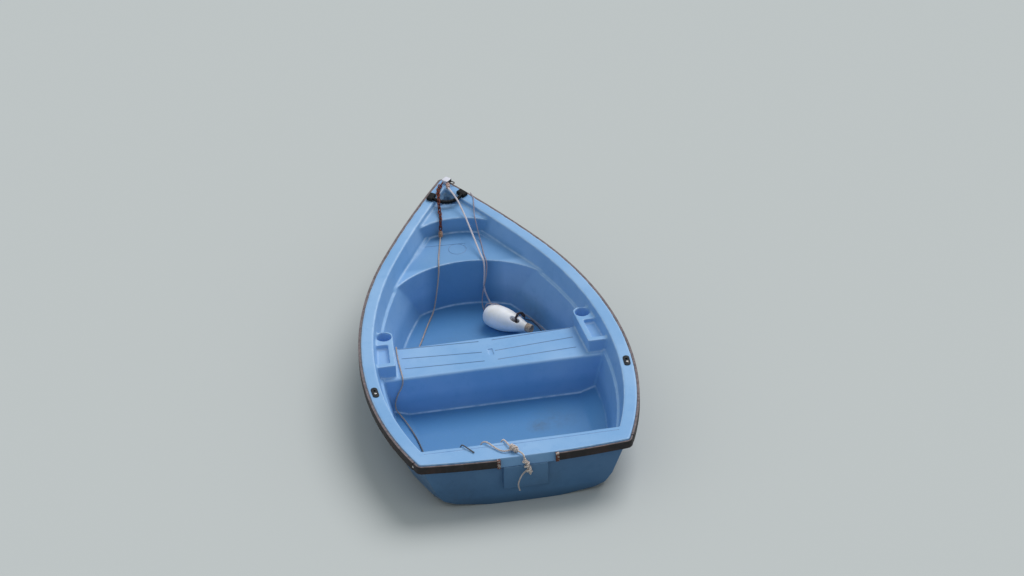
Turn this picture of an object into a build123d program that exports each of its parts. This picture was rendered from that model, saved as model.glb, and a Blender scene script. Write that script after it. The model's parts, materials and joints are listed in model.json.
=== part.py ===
from build123d import *
import math
import os

os.makedirs("parts", exist_ok=True)

# A moulded polyethylene rowing dinghy afloat. Millimetres.
# X points to the bow, Y to port and Z up. The origin is on the centreline, amidships, at the waterline.

# Driving dimensions of the hull
length = 2450                 # transom corners to bow tip
beam = 1400                   # over the gunwale, without the rail
x_stern = -length / 2
x_apex = length / 2 + 20      # where the two sides would meet, before the tip is rounded
freeboard_stern = 320         # gunwale top above the water at the transom corners
sheer_rise = 76               # how much higher the gunwale is at the bow
sheer_radius = (length**2 + sheer_rise**2) / (2 * sheer_rise)
x_widest = -475
x_bow_arc = 625               # where the flatter arc of the bow begins
y_bow_arc = 410
y_corner = 553                # half-breadth at the transom corners
transom_camber = 33
transom_rake = 5              # degrees, top aft
skin = 8                      # wall of each moulding
liner_least = 5               # of the inner moulding where it lies against the outer one
tip_radius = 14
corner_radius = 22            # of the gunwale at the transom corners

# Outer moulding by station: keel height, bilge corner and its radius
stations = [
    # x, keel z, corner y, corner z, bilge radius
    (-1290, -4, 405, 56, 132),
    (-1205, -22, 430, 32, 124),
    (-1100, -40, 468, 2, 110),
    (-900, -53, 518, -26, 96),
    (-600, -61, 568, -33, 84),
    (-200, -66, 564, -35, 78),
    (200, -64, 478, -33, 72),
    (500, -60, 378, -28, 66),
    (720, -49, 268, -16, 58),
    (900, -24, 164, 16, 48),
    (1040, 24, 86, 72, 36),
    (1140, 112, 38, 158, 20),
    (1190, 232, 8, 250, 3),
]
keel_flat = 6                 # half-width of the flat along the keel and stem

# Gunwale rim
rim_depth = 62
cap_width = 145               # fore and aft over the transom
x_cap_joint = -1090           # where the cap runs into the sides' rims
cap_camber = 15
rim_overhang = 31             # outboard of the topsides

# Cockpit
wall_draft = 14               # degrees
z_wall_top = 400              # level above the rim at which the tapered walls start
wall_inset = 49               # from the gunwale's outer edge at that level
ledge_depth = 104             # below the gunwale top
ledge_width = 12
z_floor = -10
x_floor_end = 670             # under the bow seat
z_ramp = 25                   # height of the bilge ramps in the aft well
y_ramp = 452
y_wall_foot = 549
x_thwart_aft = -295
x_thwart_fore = -10
z_thwart = 220
x_seat = 650                  # middle of the bow seat's aft edge
z_seat = 262
seat_radius = 512
x_seat_end = 430              # where that edge runs out along the sides
x_foredeck = 925              # middle of the foredeck's aft edge
foredeck_radius = 355
x_foredeck_end = 840
foredeck_step = 24            # below the gunwale top
z_console = 295
x_console_aft = -272
x_console_fore = 48
y_console_aft = 512
y_console_fore = 478
console_rim = 28
cup_radius = 39
cup_depth = 62
x_cup = 2
y_cup = 530
tray_depth = 28
x_tray_aft = -240
x_tray_fore = -72

# Rail round the rim
rail_height = 46
rail_depth = 14
rail_drop = 7                 # below the gunwale top
x_rail_joint = -1185
y_rail_end_port = 134
y_rail_end_starboard = -157

# Motor pad on the transom
pad_half = 118
z_pad_bottom = 113

# Rowlock bushes let into the rim
x_rowlock = -538
y_rowlock = 668
bush_length = 86
bush_width = 34
bush_proud = 4
bush_clear = 0.05             # under its flange
sleeve_side = 24
sleeve_length = 56
bore_radius = 6.5
bore_forward = 14             # of the bush's middle

# Grooves and marks in the seats and the cap
groove_width = 7
groove_depth = 3
y_groove_outer = 455
y_groove_inner = 38
thwart_grooves = [
    # x at the outer end, x at the inner end
    (-22, -43),
    (-111, -143),
    (-205, -225),
]
thwart_pocket = (60, 26, 6)   # fore and aft, across, deep
thwart_pocket_spot = (-150, -12)
x_cap_groove = -1141
y_cap_groove = 512

# Lifting handle across the bow
x_handle = 1088
y_handle = 83
handle_block = (54, 34, 20)   # along the gunwale, across it, high
block_chamfer = 4
block_sink = 4                # beyond the rim, before the underside is fitted to it
grip_height = 16
grip_thick = 11
grip_level = 11.5             # of its ends over the rim
grip_middle = (1028, 0, 392)
grip_ribs = 7
rib_share = 0.07              # of the strap's length from rib to rib
rib_width = 4
rib_proud = 1.5

# Recess in the foredeck behind the bow tip
x_recess_aft = 1052
recess_depth = 32
recess_margin = 8             # from the rims' inner edges

# Clamps over the ends of the stern rails
clamp_sheet = 2.5
clamp_width = 18

# Runners under the hull
runner_proud = 12
keel_runner = (-1150, 880, 0, 32)
bilge_runner = (-900, 420, 300, 30)
# each aft end, fore end, distance from the centreline, width

# Padlock on the bow tip
padlock_spot = (1209, -22)
padlock_turn = 45
padlock_body = (40, 40, 20)
case_chamfer = 4
shackle_wire = 6
shackle_width = 24
shackle_length = 34

# Mooring chain
link_length = 34
link_width = 21
link_wire = 6
link_play = 1.2               # between neighbouring links
chain_route = [
    (1187, 6, 406), (1162, 24, 406), (1134, 35, 408), (1095, 44, 413), (1060, 49, 415), (1032, 53, 413),
    (1008, 56, 398), (988, 57, 372), (952, 60, 368), (928, 62, 368), (908, 65, 366), (897, 68, 350), (896, 70, 297),
]

# Float
float_sides = 24
float_radius = 58
float_flat = float_radius * math.cos(math.pi / float_sides)
float_place = (446, -87, z_floor + float_flat)
float_heading = -133.6
float_sections = [
    # along the axis, radius
    (0, 40), (7, 53), (22, float_radius), (140, float_radius), (185, 51), (225, 38), (262, 21),
]
cap_sections = [(262, 24), (287, 24), (291, 21)]
hole_middle = 194
hole_length = 64
hole_width = 26
hole_tilt = 25

# Knots, as eight-sided lumps
knots = {
    # x, y, z, radius
    "chain_knot": [(896, 70, 262.4, 7), (896, 70, 268, 12), (896, 70, 281, 13), (896, 70, 289, 6)],
    "bow_knot": [(1168, -18, 410, 7), (1160, -18, 410, 11), (1144, -17, 410, 12), (1133, -17, 409, 7)],
    "float_knot": [(362, -280, 58, 6), (358, -273, 70, 10), (352, -266, 82, 10), (348, -262, 90, 6)],
    "stern_knot": [(-1194, 63, 335, 9), (-1202, 57, 335, 13), (-1216, 46, 335, 13), (-1224, 40, 335, 8)],
    "stern_hanging_knot": [(-1274, 8, 302, 7), (-1275, 2, 288, 13), (-1275, -8, 250, 14), (-1274, -18, 224, 7)],
}

square_side = 0.886           # of a cord's square section, to have its round area
# Cords, by their diameters and routes
cords = {
    "rope_from_chain": (8, [
        (886, 73, 271), (845, 82, 268), (780, 97, 268), (710, 113, 268), (662, 121, 272), (628, 127, 272),
        (611, 132, 238), (609, 138, 178), (606, 154, 70), (592, 171, 0), (545, 194, -4), (450, 236, -4),
        (340, 279, -4), (225, 331, -4), (120, 392, -4), (45, 440, -4), (4, 457, 28), (0, 461, 110),
        (-1, 464, 175), (-3, 466, 212), (-14, 469, 233), (-50, 473, 229), (-105, 477, 227),
        (-180, 480, 226), (-255, 481, 229), (-302, 483, 231), (-308, 487, 185), (-305, 523, 115),
        (-307, 533, 48), (-337, 508, 21), (-395, 489, 14), (-470, 469, 5), (-555, 453, -3),
        (-643, 446, -4), (-750, 438, -4), (-855, 410, -4), (-945, 374, -4), (-998, 347, 9),
        (-1024, 335, 75), (-1046, 324, 165), (-1071, 317, 255), (-1090, 311, 322), (-1122, 298, 333),
        (-1155, 274, 326), (-1182, 257, 326),
    ]),
    "rope_to_float": (10, [
        (1135, -17, 410), (1100, -24, 414), (1055, -34, 415), (1012, -46, 408), (965, -57, 388),
        (925, -66, 371), (893, -72, 357), (845, -81, 335), (765, -94, 303), (705, -102, 285),
        (664, -107, 275), (630, -112, 274), (612, -114, 240), (611, -112, 175), (610, -105, 105),
        (607, -122, 45), (596, -139, 2), (555, -160, -3), (505, -190, -3), (463, -228, -3),
        (432, -256, 4), (404, -272, 32), (384, -276, 60), (358, -271, 76),
    ]),
    "float_line": (6, [
        (1088, -128, 392), (1056, -138, 391), (1008, -131, 388), (968, -126, 389), (932, -119, 369),
        (893, -117, 361), (868, -122, 322), (842, -128, 280), (806, -131, 266), (735, -128, 266),
        (665, -124, 269), (630, -127, 271), (611, -128, 240), (597, -119, 180), (595, -102, 110),
        (596, -92, 45), (590, -92, 3), (560, -96, -5.5), (520, -96, -5), (482, -88, 9), (466, -84, 52),
        (455, -89, 108), (430, -113, 121), (437, -146, 110), (449, -178, 78), (455, -206, 38),
        (461, -240, 19), (467, -275, 6), (471, -297, -5), (452, -314, -6), (410, -334, -6), (350, -361, -6),
        (270, -388, -6), (190, -390, -6), (115, -371, -6), (60, -358, -6),
    ]),
    "float_lanyard": (6, [
        (364, -281, 62), (378, -283, 42), (396, -284, 22), (410, -292, 6), (417, -308, -4), (411, -324, -6),
        (395, -331, -6), (368, -341, -6), (335, -353, -6), (270, -362, -6), (185, -358, -6), (120, -342, -6),
    ]),
    "stern_rope_loop": (10, [
        (-1192, 63, 335), (-1162, 72, 334), (-1130, 80, 332), (-1100, 88, 327), (-1076, 96, 298),
        (-1062, 108, 250), (-1056, 132, 210), (-1056, 164, 200), (-1060, 192, 226), (-1070, 207, 264),
        (-1084, 206, 305), (-1102, 190, 332), (-1130, 168, 334), (-1162, 148, 329), (-1197, 124, 328),
        (-1216, 95, 330), (-1208, 58, 335),
    ]),
    "stern_rope_link": (10, [
        (-1222, 41, 335), (-1238, 27, 334), (-1258, 14, 333), (-1273, 9, 320), (-1274, 8, 300),
    ]),
    "stern_rope_end": (8, [
        (-1275, 0, 236), (-1278, 22, 222), (-1280, 40, 188), (-1280, 50, 150), (-1279, 40, 118),
    ]),
}

reach = 4000                  # larger than the boat


def sheer_z(x, drop=0):
    """Height at x of the surface that runs parallel to the gunwale top, drop beneath it."""
    radius = sheer_radius + drop
    return freeboard_stern + sheer_radius - math.sqrt(radius**2 - (x - x_stern)**2)


def below_sheer(drop):
    """All that lies lower than the surface parallel to the gunwale top, drop beneath it."""
    x_low = x_stern - 400
    x_high = x_apex + 400
    low = -500
    outline = [
        Line((x_low, 0, low), (x_high, 0, low)),
        Line((x_high, 0, low), (x_high, 0, sheer_z(x_high, drop))),
        ThreePointArc(
            (x_high, 0, sheer_z(x_high, drop)),
            (x_stern, 0, sheer_z(x_stern, drop)),
            (x_low, 0, sheer_z(x_low, drop)),
        ),
        Line((x_low, 0, sheer_z(x_low, drop)), (x_low, 0, low)),
    ]
    return extrude(make_face(outline), amount=1000, dir=(0, 1, 0), both=True)


def level_slab(z_low, z_high):
    """A level slab larger than the boat."""
    return Pos(0, 0, (z_low + z_high) / 2) * Box(reach, reach, z_high - z_low)


def gunwale_plan():
    """Plan of the gunwale's outer edge: three tangent arcs a side and a cambered transom."""
    edges = []
    for side in (1, -1):
        widest = (x_widest, side * beam / 2)
        bow_start = (x_bow_arc, side * y_bow_arc)
        fore = TangentArc(widest, bow_start, tangent=(1, 0))
        bow = TangentArc(bow_start, (x_apex, 0), tangent=fore % 1)
        quarter = TangentArc(widest, (x_stern, side * y_corner), tangent=(-1, 0))
        edges += [fore, bow, quarter]
    edges.append(cambered(x_stern, y_corner, transom_camber))
    return make_face(edges)


def rounded_plan(margin=0):
    """The gunwale's outer edge, or one that runs margin outside it, with its corners rounded."""
    plan = gunwale_plan()
    if margin:
        plan = offset(plan, margin, kind=Kind.INTERSECTION)
    tip = plan.vertices().sort_by(Axis.X)[-1]
    plan = fillet(tip, tip_radius + margin)
    corners = plan.vertices().sort_by(Axis.X)[:2]
    return fillet(corners, corner_radius + margin)


def cambered(x, half, camber):
    """An arc across the boat that bulges aft."""
    return ThreePointArc((x, half), (x - camber, 0), (x, -half))


def gunwale_y(x):
    """Half-breadth of the gunwale's outer edge at x, from the same arcs."""
    half = beam / 2
    if x <= x_widest:
        run, fall = x_widest - x_stern, half - y_corner
        radius = (run**2 + fall**2) / (2 * fall)
        return half - radius + math.sqrt(radius**2 - (x - x_widest)**2)
    run, fall = x_bow_arc - x_widest, half - y_bow_arc
    radius = (run**2 + fall**2) / (2 * fall)
    if x <= x_bow_arc:
        return half - radius + math.sqrt(radius**2 - (x - x_widest)**2)
    turned = math.asin(run / radius)
    chord = math.atan2(y_bow_arc, x_apex - x_bow_arc)
    bow_radius = math.hypot(y_bow_arc, x_apex - x_bow_arc) / (2 * math.sin(chord - turned))
    x_centre = x_bow_arc - bow_radius * math.sin(turned)
    y_centre = y_bow_arc - bow_radius * math.cos(turned)
    return y_centre + math.sqrt(bow_radius**2 - (x - x_centre)**2)


def gunwale_slope(x):
    """Angle of the gunwale's outer edge to the centreline at x, in radians."""
    return math.atan((gunwale_y(x - 1) - gunwale_y(x + 1)) / 2)


def hull_section(x, z_keel, y_bilge, z_bilge, radius, inset):
    """One cross-section of the outer moulding, or of its inside where inset is the wall.

    The bilge is an arc taken in two chords outside, and in one inside.
    """
    overhang = rim_overhang / math.cos(gunwale_slope(min(x, 1130)))
    y_top = max(gunwale_y(x) - overhang, 9) - inset
    z_top = sheer_z(x, rim_depth)
    start = Vector(max(keel_flat - inset / 2, 2), z_keel + inset)
    corner = Vector(max(y_bilge - inset, 3), z_bilge + inset)
    bottom = corner - start
    side = Vector(y_top, z_top) - corner
    half_turn = math.radians(bottom.get_angle(side)) / 2
    setback = min(radius * math.tan(half_turn), 0.45 * min(bottom.length, side.length))
    arc_radius = setback / math.tan(half_turn)
    bisector = (side.normalized() - bottom.normalized()).normalized()
    half = [start, corner - bottom.normalized() * setback]
    if inset <= 0:
        half.append(corner + bisector * (arc_radius / math.cos(half_turn) - arc_radius))
    half.append(corner + side.normalized() * setback)
    half.append(Vector(y_top, z_top) + side.normalized() * 60)
    port = [(x, point.X, point.Y) for point in half]
    starboard = [(x, -point.X, point.Y) for point in reversed(half)]
    return Wire(Polyline(*port, *starboard, close=True).edges())


def ahead_of_transom(inset):
    """All that lies ahead of the raked, cambered transom face, or of its inside."""
    rake = math.tan(math.radians(transom_rake))
    half = 900
    radius = (y_corner**2 + transom_camber**2) / (2 * transom_camber)
    bulge = radius - math.sqrt(radius**2 - half**2)
    low = 400
    x_middle = x_stern - transom_camber + rim_overhang + inset
    x_low = x_middle + (freeboard_stern - rim_depth + low) * rake
    plan = make_face([
        cambered(x_low + bulge, half, bulge),
        Line((x_low + bulge, -half), (x_apex + 100, -half)),
        Line((x_apex + 100, -half), (x_apex + 100, half)),
        Line((x_apex + 100, half), (x_low + bulge, half)),
    ])
    return extrude(Pos(0, 0, -low) * plan, amount=900, dir=(-rake, 0, 1))


def hull_loft(inset):
    """The loft through the stations, higher and longer than the hull."""
    return Solid.make_loft([hull_section(*row, inset) for row in stations], ruled=True)


def ahead_of(x_middle, radius):
    """Everything ahead of an upright arc that curves round the cockpit, its middle at x_middle."""
    centre = x_middle - radius
    plan = Pos(centre + reach / 2, 0) * Rectangle(reach, reach) - Pos(centre, 0) * Circle(radius)
    return extrude(Pos(0, 0, -500) * plan, amount=1200)


def cockpit_plan(inset):
    """Plan of the cockpit's edge at the level where its walls start."""
    edge = offset(gunwale_plan(), -inset, kind=Kind.INTERSECTION)
    draft = (z_wall_top - freeboard_stern) * math.tan(math.radians(wall_draft))
    x_cap = x_stern - transom_camber + cap_width - draft + inset - wall_inset
    half = 900
    ahead = make_face([
        cambered(x_cap + cap_camber, half, cap_camber),
        Line((x_cap + cap_camber, -half), (x_apex, -half)),
        Line((x_apex, -half), (x_apex, half)),
        Line((x_apex, half), (x_cap + cap_camber, half)),
    ])
    return edge & ahead


def box(x_aft, x_fore, y_low, y_high, z_low, z_high):
    """A box from its limits."""
    size = Box(x_fore - x_aft, y_high - y_low, z_high - z_low)
    return Pos((x_aft + x_fore) / 2, (y_low + y_high) / 2, (z_low + z_high) / 2) * size


def solid_of(shape):
    """The one solid that a cut leaves, without the slivers of rounding."""
    return max(shape.solids(), key=lambda piece: piece.volume)


# The main forms
under_rim = below_sheer(rim_depth)
outer = hull_loft(0) & ahead_of_transom(0) & under_rim
inner = hull_loft(skin) & ahead_of_transom(skin) & under_rim
top_plane = Pos(0, 0, z_wall_top)
upper_well = extrude(
    top_plane * cockpit_plan(wall_inset), amount=z_floor - 20 - z_wall_top, taper=wall_draft)
lower_well = extrude(
    top_plane * cockpit_plan(wall_inset + ledge_width), amount=z_floor - z_wall_top, taper=wall_draft)
under_ledge = below_sheer(ledge_depth)
bilges = hull_loft(skin + liner_least)
cockpit = solid_of(upper_well - under_ledge) + solid_of(lower_well & under_ledge & bilges)
bow_block = ahead_of(x_seat, seat_radius) & box(x_seat_end, reach, -reach, reach, z_floor, z_seat)
fore_block = ahead_of(x_foredeck, foredeck_radius) & box(x_foredeck_end, reach, -reach, reach, z_seat, 700)
sides = (("port", 1), ("starboard", -1))
parts = {}


def sheer_tilt(x):
    """Angle of the gunwale top to the level at x, in degrees."""
    return math.degrees(math.asin((x - x_stern) / sheer_radius))


def on_rim(x, y, side):
    """A place on the rim, turned along the gunwale and tilted with it."""
    angle = -side * math.degrees(gunwale_slope(x))
    return Pos(x, side * y, sheer_z(x)) * Rot(0, -sheer_tilt(x), 0) * Rot(0, 0, angle)


def bush_place(side):
    """Where a rowlock bush stands."""
    return on_rim(x_rowlock, y_rowlock, side)


def sleeve_body():
    """The square sleeve of a rowlock bush, down from the rim's top."""
    return Pos(bore_forward, 0, -sleeve_length / 2) * Box(sleeve_side, sleeve_side, sleeve_length)


def rim_body():
    """The wide gunwale rim and the cap over the transom."""
    ring = extrude(Pos(0, 0, 100) * rounded_plan(), amount=500) & below_sheer(0)
    ring = ring - under_rim - upper_well
    for name, side in sides:
        ring -= bush_place(side) * Pos(0, 0, 1) * sleeve_body()
        ring -= bush_place(side) * sleeve_body()
    return solid_of(ring)


rim = rim_body()
parts["hull_shell"] = solid_of(outer - inner)
rim_rooms = {
    "gunwale_port": box(x_cap_joint, reach, 0, reach, 0, 700),
    "gunwale_starboard": box(x_cap_joint, reach, -reach, 0, 0, 700),
    "transom_cap": box(-reach, x_cap_joint, -reach, reach, 0, 700),
}
for name, room in rim_rooms.items():
    parts[name] = solid_of(rim & room)
under_seat = box(x_floor_end, reach, -reach, reach, -300, z_floor)
parts["bow_seat"] = solid_of(inner & (bow_block + under_seat))
below_deck = solid_of(inner & fore_block)
between_rims = solid_of((upper_well - under_rim) & fore_block & below_sheer(foredeck_step))
parts["foredeck"] = below_deck + between_rims

# The inner moulding: floor, sides with their ledge, and the wall inside the transom
liner = inner - cockpit - bow_block - fore_block - under_seat
parts["floor_pan"] = solid_of(inner & box(-reach, x_floor_end, -reach, reach, -300, z_floor))
walls = liner & level_slab(z_floor, 700)
x_transom_wall = -1000
y_transom_wall = 470
transom_room = box(-1400, x_transom_wall, -y_transom_wall, y_transom_wall, z_floor, 700)
parts["transom_wall"] = solid_of(walls & transom_room)
side_walls = walls - transom_room


def bilge_ramp(side):
    """The shallow ramp between the flat floor and the wall in the aft well."""
    rise = (z_ramp - z_floor) * (900 - y_ramp) / (y_wall_foot - y_ramp)
    triangle = make_face(Polyline(
        (0, side * y_ramp, z_floor), (0, side * 900, z_floor), (0, side * 900, z_floor + rise), close=True))
    wedge = extrude(Pos(-1300, 0, 0) * triangle, amount=1300 + x_thwart_aft, dir=(1, 0, 0))
    return wedge & cockpit & inner & box(-1300, 0, -900, 900, z_floor, 200)


for name, side in sides:
    half_space = box(-1400, 1400, min(0, side * 900), max(0, side * 900), z_floor, 700)
    wall = solid_of(side_walls & half_space) + solid_of(bilge_ramp(side))
    parts["side_wall_" + name] = wall


def thwart_body():
    """The moulded box thwart, its long top edges rounded."""
    room = box(x_thwart_aft, x_thwart_fore, -900, 900, z_floor, z_thwart)
    block = solid_of(cockpit & room & inner)
    edges = [e for e in block.edges().filter_by(Axis.Y) if e.center().Z > z_thwart - 1]
    return fillet(edges, 12)


thwart = thwart_body()
parts["thwart"] = thwart


inner_to_rim = inner + (upper_well - under_rim)


def cup_room(side):
    """The room of a cup hole."""
    return Pos(x_cup, side * y_cup, z_console) * Cylinder(cup_radius, 2 * cup_depth)


def console_body(side):
    """A side console on the end of the thwart, with its cup hole and tray."""
    outline = Polyline(
        (x_console_aft, side * y_console_aft), (x_console_fore, side * y_console_fore),
        (x_console_fore, side * 800), (x_console_aft, side * 800), close=True)
    plan = make_face(outline)
    corner = plan.vertices().group_by(Axis.X)[-1].sort_by(lambda v: abs(v.Y))[0]
    plan = fillet(corner, 36)
    prism = extrude(Pos(0, 0, z_floor) * plan, amount=z_console - z_floor)
    over_thwart = box(-600, 600, -900, 900, z_thwart - 20, z_console)
    ahead_of_thwart = box(x_thwart_fore, 600, -900, 900, z_floor, z_console)
    block = prism & cockpit & inner_to_rim & (over_thwart + ahead_of_thwart) - thwart
    block -= cup_room(side)
    tray = make_face(Polyline(
        (x_tray_aft, side * (y_console_aft + console_rim)), (x_tray_fore, side * (y_console_fore + console_rim + 16)),
        (x_tray_fore, side * 800), (x_tray_aft, side * 800), close=True))
    block -= extrude(Pos(0, 0, z_console - tray_depth) * tray, amount=2 * tray_depth)
    return solid_of(block)


for name, side in sides:
    parts["console_" + name] = console_body(side)
    parts["side_wall_" + name] -= cup_room(side)


def belt(margin, above=0, below=0):
    """A belt round the rim, out to margin, from above the rail's top to below its foot."""
    outside = extrude(Pos(0, 0, 50) * rounded_plan(margin), amount=600)
    inside = extrude(Pos(0, 0, 50) * rounded_plan(), amount=600)
    return (outside & below_sheer(rail_drop - above)) - below_sheer(rail_drop + rail_height + below) - inside


ring = belt(rail_depth)
rail_gap = 2
lengths = {
    "rub_rail_port": box(x_rail_joint, 1400, 0, 900, 0, 700),
    "rub_rail_starboard": box(x_rail_joint, 1400, -900, 0, 0, 700),
    "stern_rail_port": box(-1400, x_rail_joint - rail_gap, y_rail_end_port, 900, 0, 700),
    "stern_rail_starboard": box(-1400, x_rail_joint - rail_gap, -900, y_rail_end_starboard, 0, 700),
}
for name, room in lengths.items():
    parts[name] = solid_of(ring & room)


def pad_body():
    """The raised pad for an outboard motor, its face a raked plane under the rim."""
    plate = Rot(0, -transom_rake, 0) * Box(60, 2 * pad_half, 600)
    x_face = x_stern - transom_camber
    plate = Pos(x_face + 30 / math.cos(math.radians(transom_rake)), 0, freeboard_stern - rim_depth) * plate
    plate = plate & level_slab(z_pad_bottom, freeboard_stern)
    return solid_of((plate & under_rim) - outer)


parts["motor_pad"] = pad_body()


def bush_body():
    """A rowlock bush: oblong flange on the rim, square sleeve in it, bored for the pin."""
    flange = extrude(Pos(0, 0, bush_clear) * SlotOverall(bush_length, bush_width), amount=bush_proud - bush_clear)
    neck = Pos(bore_forward, 0, 0) * Box(sleeve_side, sleeve_side, 2)
    bore = Pos(bore_forward, 0, 0) * Cylinder(bore_radius, 4 * rim_depth)
    return flange + neck + sleeve_body() - bore


for name, side in sides:
    parts["rowlock_bush_" + name] = bush_place(side) * bush_body()

clamps = belt(rail_depth + clamp_sheet, clamp_sheet, clamp_sheet) - ring
clamp_rooms = {
    "rail_end_clamp_port": (y_rail_end_port, y_rail_end_port + clamp_width),
    "rail_end_clamp_starboard": (y_rail_end_starboard - clamp_width, y_rail_end_starboard),
}
for name, (y_low, y_high) in clamp_rooms.items():
    parts[name] = solid_of(clamps & box(-1400, x_rail_joint, y_low, y_high, 0, 700))


def seated(body):
    """The body, its underside fitted to the gunwale top."""
    return body - below_sheer(0)


def handle_mount(side):
    """One end block of the lifting handle."""
    along, across, height = handle_block
    block = Pos(0, 0, height / 2 - block_sink / 2) * Box(along, across, height + block_sink)
    block = chamfer(block.edges().group_by(Axis.Z)[-1], block_chamfer)
    return seated(on_rim(x_handle, y_handle, side) * block)


def handle_grip():
    """The strap of the lifting handle, sagging aft, with its ribs."""
    ends = [(on_rim(x_handle, y_handle, side) * Pos(0, 0, grip_level)).position for side in (1, -1)]
    line = ThreePointArc(ends[0], grip_middle, ends[1])
    sag = Vector(*grip_middle) - (ends[0] + ends[1]) / 2
    strap = sweep(Plane(origin=line @ 0, z_dir=line % 0, x_dir=sag) * Rectangle(grip_thick, grip_height), line)
    for rib in range(grip_ribs):
        share = 0.5 + (rib - (grip_ribs - 1) / 2) * rib_share
        place = Plane(origin=line @ share, z_dir=line % share, x_dir=Vector(*grip_middle) - line.arc_center)
        strap += place * Box(grip_thick + 2 * rib_proud, grip_height + 2 * rib_proud, rib_width)
    return strap


mounts = {side: handle_mount(side) for name, side in sides}
parts["handle_block_port"] = mounts[1]
parts["handle_block_starboard"] = mounts[-1]
parts["handle_grip"] = handle_grip() - mounts[1] - mounts[-1]


def runner(side, x_aft, x_fore, y_middle, width):
    """A moulded runner under the hull."""
    room = box(x_aft, x_fore, side * y_middle - width / 2, side * y_middle + width / 2, -200, 60)
    return solid_of((hull_loft(-runner_proud) & room) - outer)


def padlock():
    """The padlock's case, flat on the bow tip, and its shackle in one plane with it."""
    wide, long, thick = padlock_body
    place = Pos(*padlock_spot, sheer_z(padlock_spot[0])) * Rot(0, 0, padlock_turn)
    case = Pos(0, 0, thick / 2 - block_sink / 2) * Box(wide, long, thick + block_sink)
    case = chamfer(case.edges().filter_by(Axis.Z), case_chamfer)
    bend = (shackle_width - shackle_wire) / 2
    straight = shackle_length - bend
    foot = wide / 2 - 6
    turns = [math.radians(30 * i) for i in range(7)]
    round_end = [(-foot - straight - bend * math.sin(turn), bend * math.cos(turn), 0) for turn in turns]
    line = Polyline((-foot, bend, 0), *round_end, (-foot, -bend, 0))
    section = Plane(origin=(-foot, bend, 0), z_dir=(-1, 0, 0)) * RegularPolygon(shackle_wire / 2, 8)
    wire = sweep(section, line, transition=Transition.RIGHT)
    shackle = place * Pos(0, 0, thick / 2) * wire
    case = seated(place * case)
    return case, shackle - case


parts["padlock_case"], parts["padlock_shackle"] = padlock()


def chain_link():
    """One link: six-sided wire along an oval of short straight runs."""
    end = link_width / 2 - link_wire / 2
    straight = link_length / 2 - link_wire / 2 - end
    turn = math.radians(45)
    fore = [(straight + end * math.sin(turn * i), -end * math.cos(turn * i), 0) for i in range(5)]
    aft = [(-x, -y, 0) for x, y, z in fore]
    line = Polyline((0, -end, 0), *fore, *aft, (0, -end, 0))
    section = Plane(origin=(0, -end, 0), z_dir=(1, 0, 0)) * RegularPolygon(link_wire / 2, 6)
    return sweep(section, line, transition=Transition.RIGHT)


def chain():
    """The links along their route, each turned a quarter from the last."""
    pitch = link_length - 2 * link_wire - link_play
    route = Polyline(*chain_route)
    joints = [route @ 0]
    step = 0.002
    share = step
    while share < 1:
        if ((route @ share) - joints[-1]).length >= pitch:
            joints.append(route @ share)
        share += step
    links = []
    for index, (here, there) in enumerate(zip(joints, joints[1:])):
        place = Plane(origin=(here + there) / 2, x_dir=there - here, z_dir=upright(there - here))
        links.append(place * Rot(45 + 90 * (index % 2), 0, 0) * link)
    return links


def upright(along):
    """The direction square to along that is nearest to straight up, or forward where along is upright."""
    up = Vector(0, 0, 1) if abs(along.normalized().Z) < 0.95 else Vector(1, 0, 0)
    return along.cross(up).cross(along)


link = chain_link()
parts["mooring_chain"] = chain()
parts["hull_runners"] = [runner(1, *keel_runner), runner(1, *bilge_runner), runner(-1, *bilge_runner)]


def many_sided(sections, sides):
    """A body of regular sections along X, a flat side down."""
    turn = Rot(0, 0, 180 / sides)
    planes = [(Plane(origin=(x, 0, 0), x_dir=(0, 0, 1), z_dir=(1, 0, 0)), radius) for x, radius in sections]
    wires = [(plane * turn * RegularPolygon(radius, sides)).face().outer_wire() for plane, radius in planes]
    return Solid.make_loft(wires, ruled=True)


def float_parts():
    """The jug-shaped float lying on the floor, its handle hole cut, and its cap."""
    body = many_sided(float_sections, float_sides)
    cap = many_sided(cap_sections, float_sides)
    straight = hole_length - hole_width
    hole = Box(straight, hole_width, 4 * hole_length) + Box(hole_length, hole_width / 2, 4 * hole_length)
    body -= Rot(hole_tilt, 0, 0) * Pos(hole_middle, 0, 0) * hole
    place = Pos(*float_place) * Rot(0, 0, float_heading)
    return place * body, place * cap


parts["float_body"], parts["float_cap"] = float_parts()


def groove(start, end, z_top, width, depth):
    """The cutter of a straight groove in a level surface."""
    run = Vector(*end) - Vector(*start)
    middle = (Vector(*end) + Vector(*start)) / 2
    return Pos(middle.X, middle.Y, z_top) * Rot(0, 0, math.degrees(math.atan2(run.Y, run.X))) * Box(
        run.length, width, 2 * depth)


for name, side in sides:
    for x_out, x_in in thwart_grooves:
        parts["thwart"] -= groove(
            (x_out, side * y_groove_outer), (x_in, side * y_groove_inner), z_thwart, groove_width, groove_depth)
pocket_long, pocket_wide, pocket_deep = thwart_pocket
parts["thwart"] -= Pos(*thwart_pocket_spot, z_thwart) * Box(pocket_long, pocket_wide, 2 * pocket_deep)


def cap_groove():
    """The cutter of the cambered groove in the cap over the transom."""
    bulge = cap_camber * (y_cap_groove / 900) ** 2
    x_mid = x_cap_groove + bulge
    half = groove_width / 2
    plan = make_face([
        cambered(x_mid - half, y_cap_groove, bulge),
        Line((x_mid - half, -y_cap_groove), (x_mid + half, -y_cap_groove)),
        cambered(x_mid + half, y_cap_groove, bulge),
        Line((x_mid + half, y_cap_groove), (x_mid - half, y_cap_groove)),
    ])
    return extrude(Pos(0, 0, 200) * plan, amount=300) - below_sheer(groove_depth)


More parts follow.
